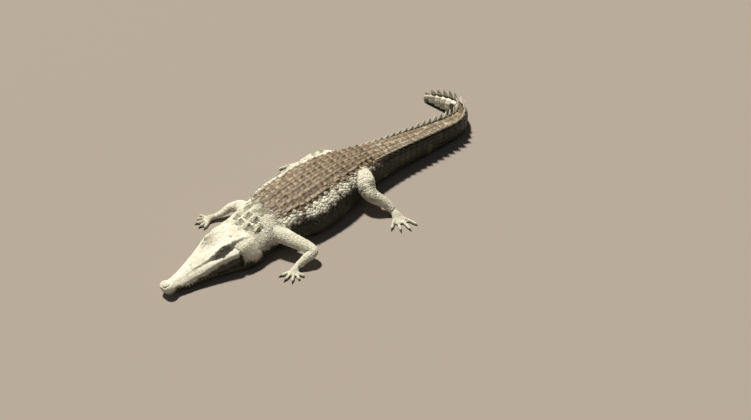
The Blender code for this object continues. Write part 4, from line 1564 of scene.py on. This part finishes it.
teethShape = {
    # distance behind the snout tip and length in millimetres, upper row
    "upper": [(0.034, 9), (0.052, 12), (0.072, 13), (0.095, 10), (0.165, 9), (0.200, 12),
              (0.235, 16), (0.270, 20), (0.305, 16), (0.345, 13), (0.385, 12), (0.425, 13),
              (0.465, 12), (0.505, 10), (0.545, 9), (0.585, 8)],
    "lower": [(0.128, 19), (0.185, 8), (0.215, 9), (0.320, 9), (0.365, 9)],
}


def makeTeeth(material):
    tubes = []
    for row, sign in (("upper", -1), ("lower", 1)):
        for along, longMm in teethShape[row]:
            lip = float(smoothBetween(headShape["skull"], along)[0][5])
            for side in (-1, 1):
                height = float(mouthHeight(np.array([along]))[0]) - sign * 0.002
                # the upper teeth hang outside the lower jaw, the fourth lower one in its notch
                aside = lip - (0.010 if sign < 0 else 0.014) - 0.010 * (along < 0.06)
                start = toWorld(headPlace(along, side * aside, height - sign * 0.004))
                out = np.array([0.05, side * 0.20, sign * 1.0])
                out /= np.linalg.norm(out)
                tubes.append(hornRings(start, out, longMm / 1000, 0.0022 + longMm * 0.00013, 0.0,
                                       sides=10, rows=7, flat=1.0))
    joinTubes("teeth", tubes, material)


def linear(hexColour):
    # sRGB hex to the linear numbers that shaders use
    parts = [int(hexColour[i:i + 2], 16) / 255 for i in (1, 3, 5)]
    turned = [c / 12.92 if c <= 0.04045 else ((c + 0.055) / 1.055) ** 2.4 for c in parts]
    return (*turned, 1.0)


def addNode(tree, kind, settings=None, links=None):
    # a node with its settings; links go from another node's output to this one's input
    node = tree.nodes.new(kind)
    for key, value in (settings or {}).items():
        if isinstance(key, int) or key in node.inputs:
            node.inputs[key].default_value = value
        else:
            setattr(node, key, value)
    for key, source in (links or {}).items():
        tree.links.new(source, node.inputs[key])
    return node


def emptyMaterial(name, roughness, ior=1.45):
    made = bpy.data.materials.new(name)
    made.use_nodes = True
    shader = made.node_tree.nodes["Principled BSDF"]
    shader.inputs["Roughness"].default_value = roughness
    shader.inputs["IOR"].default_value = ior
    return made, made.node_tree, shader


hideLook = {
    # each noise: its size in millimetres and the part of it that is spread from 0 to 1
    "noises": {"large": (90, 0.52, 0.70), "middle": (22, 0.35, 0.67), "fine": (4.5, 0.30, 0.70),
               "specks": (6.5, 0.60, 0.70)},
    # each layer lies over the ones before it: its two hues, what mixes them, its cover and strength
    "layers": [
        ("#26271B", "#403D29", "middle", None, 1.0),
        ("#705F49", "#9C8A6F", "middle", "back", 1.0),
        ("#F5F3E4", "#E4E0CA", "middle", "mud", 1.0),
        ("#C9BCAC", "#D8D0BE", "fine", "largeMud", 0.45),
        ("#5F6040", "#7B7A56", "middle", "olive", 0.75),
        ("#4A4630", "#57523A", "fine", "specks", 0.40),
        # painted shade in the gaps between scales, darker where a point lies low on its scale
        ("#1E1D15", "#2E2A1C", "fine", "gapShade", 0.85),
    ],
    "ragged": 0.22,  # how much the finer noises break up the mud's edge
    "mudFrom": 0.52, "mudTo": 0.86,
    "gapShadeFrom": 0.66, "gapShadeTo": 0.18,  # of a scale's height, where the painted shade of the gap starts and is full
    "mudInGaps": 0.38,
    "toneLow": 0.82, "toneHigh": 1.10,
    "bareRoughness": 0.52,
    "muddyRoughness": 0.92,
    "bumpMm": 1.4,
}


def makeHide():
    # scaled hide with dried river mud: horn-like where bare, chalky and matt where muddy
    look = hideLook
    made, tree, shader = emptyMaterial("crocodile hide", look["muddyRoughness"], 1.5)
    place = addNode(tree, "ShaderNodeTexCoord").outputs["Object"]
    covers = {name: addNode(tree, "ShaderNodeAttribute", {"attribute_name": name}).outputs["Fac"]
              for name in ("top", "mud", "back", "olive", "tone")}
    for name, (sizeMm, low, high) in look["noises"].items():
        grain = addNode(tree, "ShaderNodeTexNoise", {"Scale": 1000 / sizeMm, "Detail": 3.0},
                        {"Vector": place})
        covers[name] = addNode(tree, "ShaderNodeMapRange", {"From Min": low, "From Max": high},
                               {"Value": grain.outputs["Fac"]}).outputs["Result"]
    ragged = addNode(tree, "ShaderNodeMath", {"operation": "ADD"}, {0: covers["fine"], 1: covers["middle"]})
    ragged = addNode(tree, "ShaderNodeMath", {"operation": "MULTIPLY_ADD", 1: look["ragged"]},
                     {0: ragged.outputs[0], 2: covers["mud"]})
    covers["mud"] = addNode(tree, "ShaderNodeMapRange",
                            {"From Min": look["mudFrom"], "From Max": look["mudTo"]},
                            {"Value": ragged.outputs[0]}).outputs["Result"]
    covers["largeMud"] = addNode(tree, "ShaderNodeMath", {"operation": "MULTIPLY"},
                                 {0: covers["mud"], 1: covers["large"]}).outputs[0]
    # painted shade: the gaps between scales are darker the deeper they lie, less so where mud fills them
    gaps = addNode(tree, "ShaderNodeMapRange", {"From Min": look["gapShadeFrom"], "From Max": look["gapShadeTo"]},
                   {"Value": covers["top"]})
    empty = addNode(tree, "ShaderNodeMapRange", {"To Min": 1.0, "To Max": look["mudInGaps"]},
                    {"Value": covers["mud"]})
    covers["gapShade"] = addNode(tree, "ShaderNodeMath", {"operation": "MULTIPLY"},
                              {0: gaps.outputs["Result"], 1: empty.outputs["Result"]}).outputs[0]
    colour = None
    for first, second, mixing, cover, strength in look["layers"]:
        hue = addNode(tree, "ShaderNodeMix", {"data_type": "RGBA", 6: linear(first), 7: linear(second)},
                      {0: covers[mixing]}).outputs[2]
        if cover is None:
            colour = hue
            continue
        share = addNode(tree, "ShaderNodeMath", {"operation": "MULTIPLY", 1: strength}, {0: covers[cover]})
        colour = addNode(tree, "ShaderNodeMix", {"data_type": "RGBA"},
                         {0: share.outputs[0], 6: colour, 7: hue}).outputs[2]
    tone = addNode(tree, "ShaderNodeMapRange", {"To Min": look["toneLow"], "To Max": look["toneHigh"]},
                   {"Value": covers["tone"]})
    colour = addNode(tree, "ShaderNodeHueSaturation", None,
                     {"Value": tone.outputs["Result"], "Color": colour}).outputs["Color"]
    tree.links.new(colour, shader.inputs["Base Color"])
    dry = addNode(tree, "ShaderNodeMapRange",
                  {"To Min": look["bareRoughness"], "To Max": look["muddyRoughness"]},
                  {"Value": covers["mud"]})
    tree.links.new(dry.outputs["Result"], shader.inputs["Roughness"])
    height = addNode(tree, "ShaderNodeMath", {"operation": "MULTIPLY_ADD", 1: 0.4},
                     {0: covers["fine"], 2: covers["middle"]})
    bumped = addNode(tree, "ShaderNodeBump", {"Strength": 0.5, "Distance": look["bumpMm"] / 1000},
                     {"Height": height.outputs[0]})
    tree.links.new(bumped.outputs["Normal"], shader.inputs["Normal"])
    return made


view = {
    "azimuth": -137.0,  # degrees from +X; over the animal's left side, from the snout's end
    "elevation": 39.0,
    "distance": 8.506,  # from the point aimed at, metres
    "aimAlong": 0.0848,  # of the half length, from the middle towards the tail
    "aimAside": -0.257,
    "lensMm": 57.04,
    "sensorMm": 36.0,
}


def wayTo(azimuth, elevation):
    # the direction that lies so many degrees round from +X and up from the floor
    a, e = math.radians(azimuth), math.radians(elevation)
    return Vector((math.cos(a) * math.cos(e), math.sin(a) * math.cos(e), math.sin(e)))


def addObject(name, data, facing):
    # a camera or lamp that looks back along a direction
    made = bpy.data.objects.new(name, data)
    made.rotation_euler = facing.to_track_quat("Z", "Y").to_euler()
    bpy.context.scene.collection.objects.link(made)
    return made


def placeCamera():
    back = wayTo(view["azimuth"], view["elevation"])
    data = bpy.data.cameras.new("camera")
    data.lens, data.sensor_width = view["lensMm"], view["sensorMm"]
    data.clip_end = 200
    camera = addObject("camera", data, back)
    aim = Vector((view["aimAlong"] * cadBounds[1][0], view["aimAside"], 0.0))
    camera.location = aim + back * view["distance"]
    bpy.context.scene.camera = camera
    print("camera", view["distance"], "m away")


light = {
    "keyAzimuth": 72.0,  # degrees from +X towards +Y; the key stands on the animal's right
    "keyElevation": 60.0,
    "keyStrength": 5.1,
    "keySoftness": 6.0,  # degrees
    "skyStrength": 0.09,
    "key": "#FFF8EC",
    "sky": "#E9EDF2",
    "floor": "#999087",
}


def placeLights():
    data = bpy.data.lights.new("key", "SUN")
    data.energy, data.angle = light["keyStrength"], math.radians(light["keySoftness"])
    data.color = linear(light["key"])[:3]
    addObject("key", data, wayTo(light["keyAzimuth"], light["keyElevation"]))
    world = bpy.data.worlds.new("studio")
    world.use_nodes = True
    sky = world.node_tree.nodes["Background"]
    sky.inputs["Color"].default_value = linear(light["sky"])
    sky.inputs["Strength"].default_value = light["skyStrength"]
    bpy.context.scene.world = world
    bpy.context.scene.view_settings.view_transform = "Standard"  # clear lights and deep shades


eyeLook = {"iris": ("#6B6A2C", "#A69A4E"), "rim": "#1B180E", "slit": "#060504", "streakMm": 3.846,
           "slitNarrow": 7.0, "slitTall": 1.7}


def makeEyeMaterial():
    # a wet eye: gold iris round an upright slit, dark rim, glossy all over
    made, tree, shader = emptyMaterial("wet eye", 0.06, 1.38)
    shares = {}
    for name, scales in (("slit", (eyeLook["slitNarrow"], eyeLook["slitTall"])), ("rim", (1.0, 1.0))):
        squares = []
        for key, scale in zip(("across", "upward"), scales):
            mark = addNode(tree, "ShaderNodeAttribute", {"attribute_name": key}).outputs["Fac"]
            scaled = addNode(tree, "ShaderNodeMath", {"operation": "MULTIPLY", 1: scale}, {0: mark})
            squares.append(addNode(tree, "ShaderNodeMath", {"operation": "POWER", 1: 2.0},
                                   {0: scaled.outputs[0]}).outputs[0])
        shares[name] = addNode(tree, "ShaderNodeMath", {"operation": "ADD"},
                               {0: squares[0], 1: squares[1]}).outputs[0]
    streaks = addNode(tree, "ShaderNodeTexNoise", {"Scale": 1000 / eyeLook["streakMm"], "Detail": 2.0})
    first, second = eyeLook["iris"]
    colour = addNode(tree, "ShaderNodeMix", {"data_type": "RGBA", 6: linear(first), 7: linear(second)},
                     {0: streaks.outputs["Fac"]}).outputs[2]
    for name, low, high in (("rim", 0.45, 0.62), ("slit", 1.0, 0.8)):
        cover = addNode(tree, "ShaderNodeMapRange", {"From Min": low, "From Max": high},
                        {"Value": shares[name]}).outputs[0]
        colour = addNode(tree, "ShaderNodeMix", {"data_type": "RGBA", 7: linear(eyeLook[name])},
                         {0: cover, 6: colour}).outputs[2]
    tree.links.new(colour, shader.inputs["Base Color"])
    shader.inputs["Coat Weight"].default_value = 0.6
    return made


hornLook = {
    # darker and paler hue, and roughness
    "claw horn": ("#26211B", "#4E463A", 0.42),
    "tooth": ("#9A8B62", "#E2D9B8", 0.35),
    "grainMm": 7.143,
}


def makeHorn(name):
    # keratin or dentine, mottled and faintly rough
    dark, pale, roughness = hornLook[name]
    made, tree, shader = emptyMaterial(name, roughness, 1.54)
    place = addNode(tree, "ShaderNodeTexCoord").outputs["Object"]
    grain = addNode(tree, "ShaderNodeTexNoise", {"Scale": 1000 / hornLook["grainMm"], "Detail": 3.0},
                    {"Vector": place})
    spread = addNode(tree, "ShaderNodeMapRange", {"From Min": 0.35, "From Max": 0.68},
                     {"Value": grain.outputs["Fac"]})
    colour = addNode(tree, "ShaderNodeMix", {"data_type": "RGBA", 6: linear(dark), 7: linear(pale)},
                     {0: spread.outputs[0]})
    tree.links.new(colour.outputs[2], shader.inputs["Base Color"])
    bumped = addNode(tree, "ShaderNodeBump", {"Strength": 0.4, "Distance": 0.001},
                     {"Height": grain.outputs["Fac"]})
    tree.links.new(bumped.outputs["Normal"], shader.inputs["Normal"])
    return made


def makeFloor():
    size = 40.0
    floor = newObject("floor", [(-size, -size, 0), (size, -size, 0), (size, size, 0), (-size, size, 0)],
                      [(0, 1, 2, 3)])
    made, _, shader = emptyMaterial("matt studio floor", 0.9)
    shader.inputs["Base Color"].default_value = linear(light["floor"])
    floor.data.materials.append(made)


placeCamera()
placeLights()
makeFloor()
surfaces = makeSurfaces()
print("forms of the skin:", len(surfaces))
nameAtlas(surfaces)
skin = makeSkin(surfaces)
skinTree = BVHTree.FromPolygons([tuple(p) for p in pointsOf(skin.data)],
                                [tuple(f.vertices) for f in skin.data.polygons])
markSkin(skin, surfaces)
hide = makeHide()
dress(skin, hide)
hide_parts(*[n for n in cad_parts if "claw" not in n and "eye" not in n])

eyeGloss = makeEyeMaterial()
makeEye("eye_left", -1, eyeGloss)
makeEye("eye_right", 1, eyeGloss)
makeEyelids(hide, skinTree)
# painted shade: near-black for the inside of the nostrils
nostrilShade, _, nostrilShadeShader = emptyMaterial("nostril shade", 0.7, 1.4)
nostrilShadeShader.inputs["Base Color"].default_value = linear("#15120E")
makeNostrils(hide, nostrilShade, skinTree)
makeClaws(makeHorn("claw horn"))
makeTeeth(makeHorn("tooth"))
print("eyes, lids, nostrils, claws and teeth made")

body, head = surfaces["body"], surfaces["head"]
sizes = coatShape
shieldPlates, napeScutes = shieldCells(body), napeCells(body)
plates, blades = whorlCells(body)
makeCoat("back_shield", "scaled_back", (body, shieldPlates, "scute"))
makeCoat("nape_scutes", "pale_hide", (body, napeScutes, "scute", 0.0, 0.007, napeShape["marks"]))
makeCoat("tail_whorls", "scaled_back", (body, plates, "ring"))
makeCoat("tail_crest", "scaled_back", (body, blades, "blade", 0.006, 0.02))
edge = mosaic(body, 0.50, 2.04, sizes["flankScaleMm"] * 1.15, 0.08, 0.205, 0.0034, large=0.3)
side = mosaic(body, 0.50, 2.02, sizes["flankScaleMm"], 0.21, 0.345, 0.0028, large=0.12)
makeCoat("flank_scales", "scaled_back", (body, clearOf(edge, shieldPlates + plates, body) + side, "scale"))
makeCoat("belly_scales", "pale_hide",
         (body, squareRows(body, 0.12, 2.02, sizes["bellyScaleMm"], 0.355, 0.5, 0.8), "ring"))
neck = mosaic(body, 0.05, 0.515, sizes["neckScaleMm"], 0.0, 0.36, 0.0028, large=0.06)
makeCoat("neck_scales", "pale_hide", (body, clearOf(neck, napeScutes, body), "scale"))
for pair in ("foreleg", "hindleg"):
    onLegs, onFeet = [], []
    for name in (pair + "_left", pair + "_right"):
        leg, palm = surfaces[name], surfaces[name + "_palm"]
        onLegs.append((leg, mosaic(leg, 0.10, leg.end, sizes["legScaleMm"], 0.0, 0.5, 0.0022), "scale"))
        onFeet.append((palm, mosaic(palm, 0.05, 1.0, sizes["footScaleMm"], 0.0, 0.32, 0.0014), "grain"))
        for i in range(len(legShapes[name]["toes"])):
            toe = surfaces[f"{name}_toe_{i + 1}"]
            onFeet.append((toe, mosaic(toe, toe.start + 0.3, toe.end, sizes["toeScaleMm"], 0.0, 0.33, 0.0012,
                                       jitter=0.1, squash=0.8), "grain"))
    makeCoat(pair + "_scales", "pale_hide", *onLegs)
    makeCoat(pair + "_foot_scales", "pale_hide", *onFeet)
# each row: from and to along the head, the scales' size, from and to round it, thickness and kind
face, jowl, throat = sizes["faceScaleMm"], sizes["jowlScaleMm"], sizes["throatScaleMm"]
onHead = {
    "face_scales": [(0.03, 0.15, face * 0.8, 0.06, 0.21, 0.0006, "flat"),
                    (0.15, 0.90, face, 0.0, 0.27, 0.0007, "flat"),
                    (0.90, 1.115, face * 1.2, 0.0, 0.115, 0.0008, "flat")],
    "jaw_scales": [(0.905, 1.125, jowl, 0.12, 0.36, 0.0024, "scale"),
                   (0.10, 0.90, face, 0.28, 0.36, 0.0008, "flat"),
                   (0.10, 1.12, throat, 0.37, 0.5, 0.0012, "flat")],
}
for name, rows in onHead.items():
    makeCoat(name, "pale_hide", *[(head, mosaic(head, *row), kind) for *row, kind in rows])
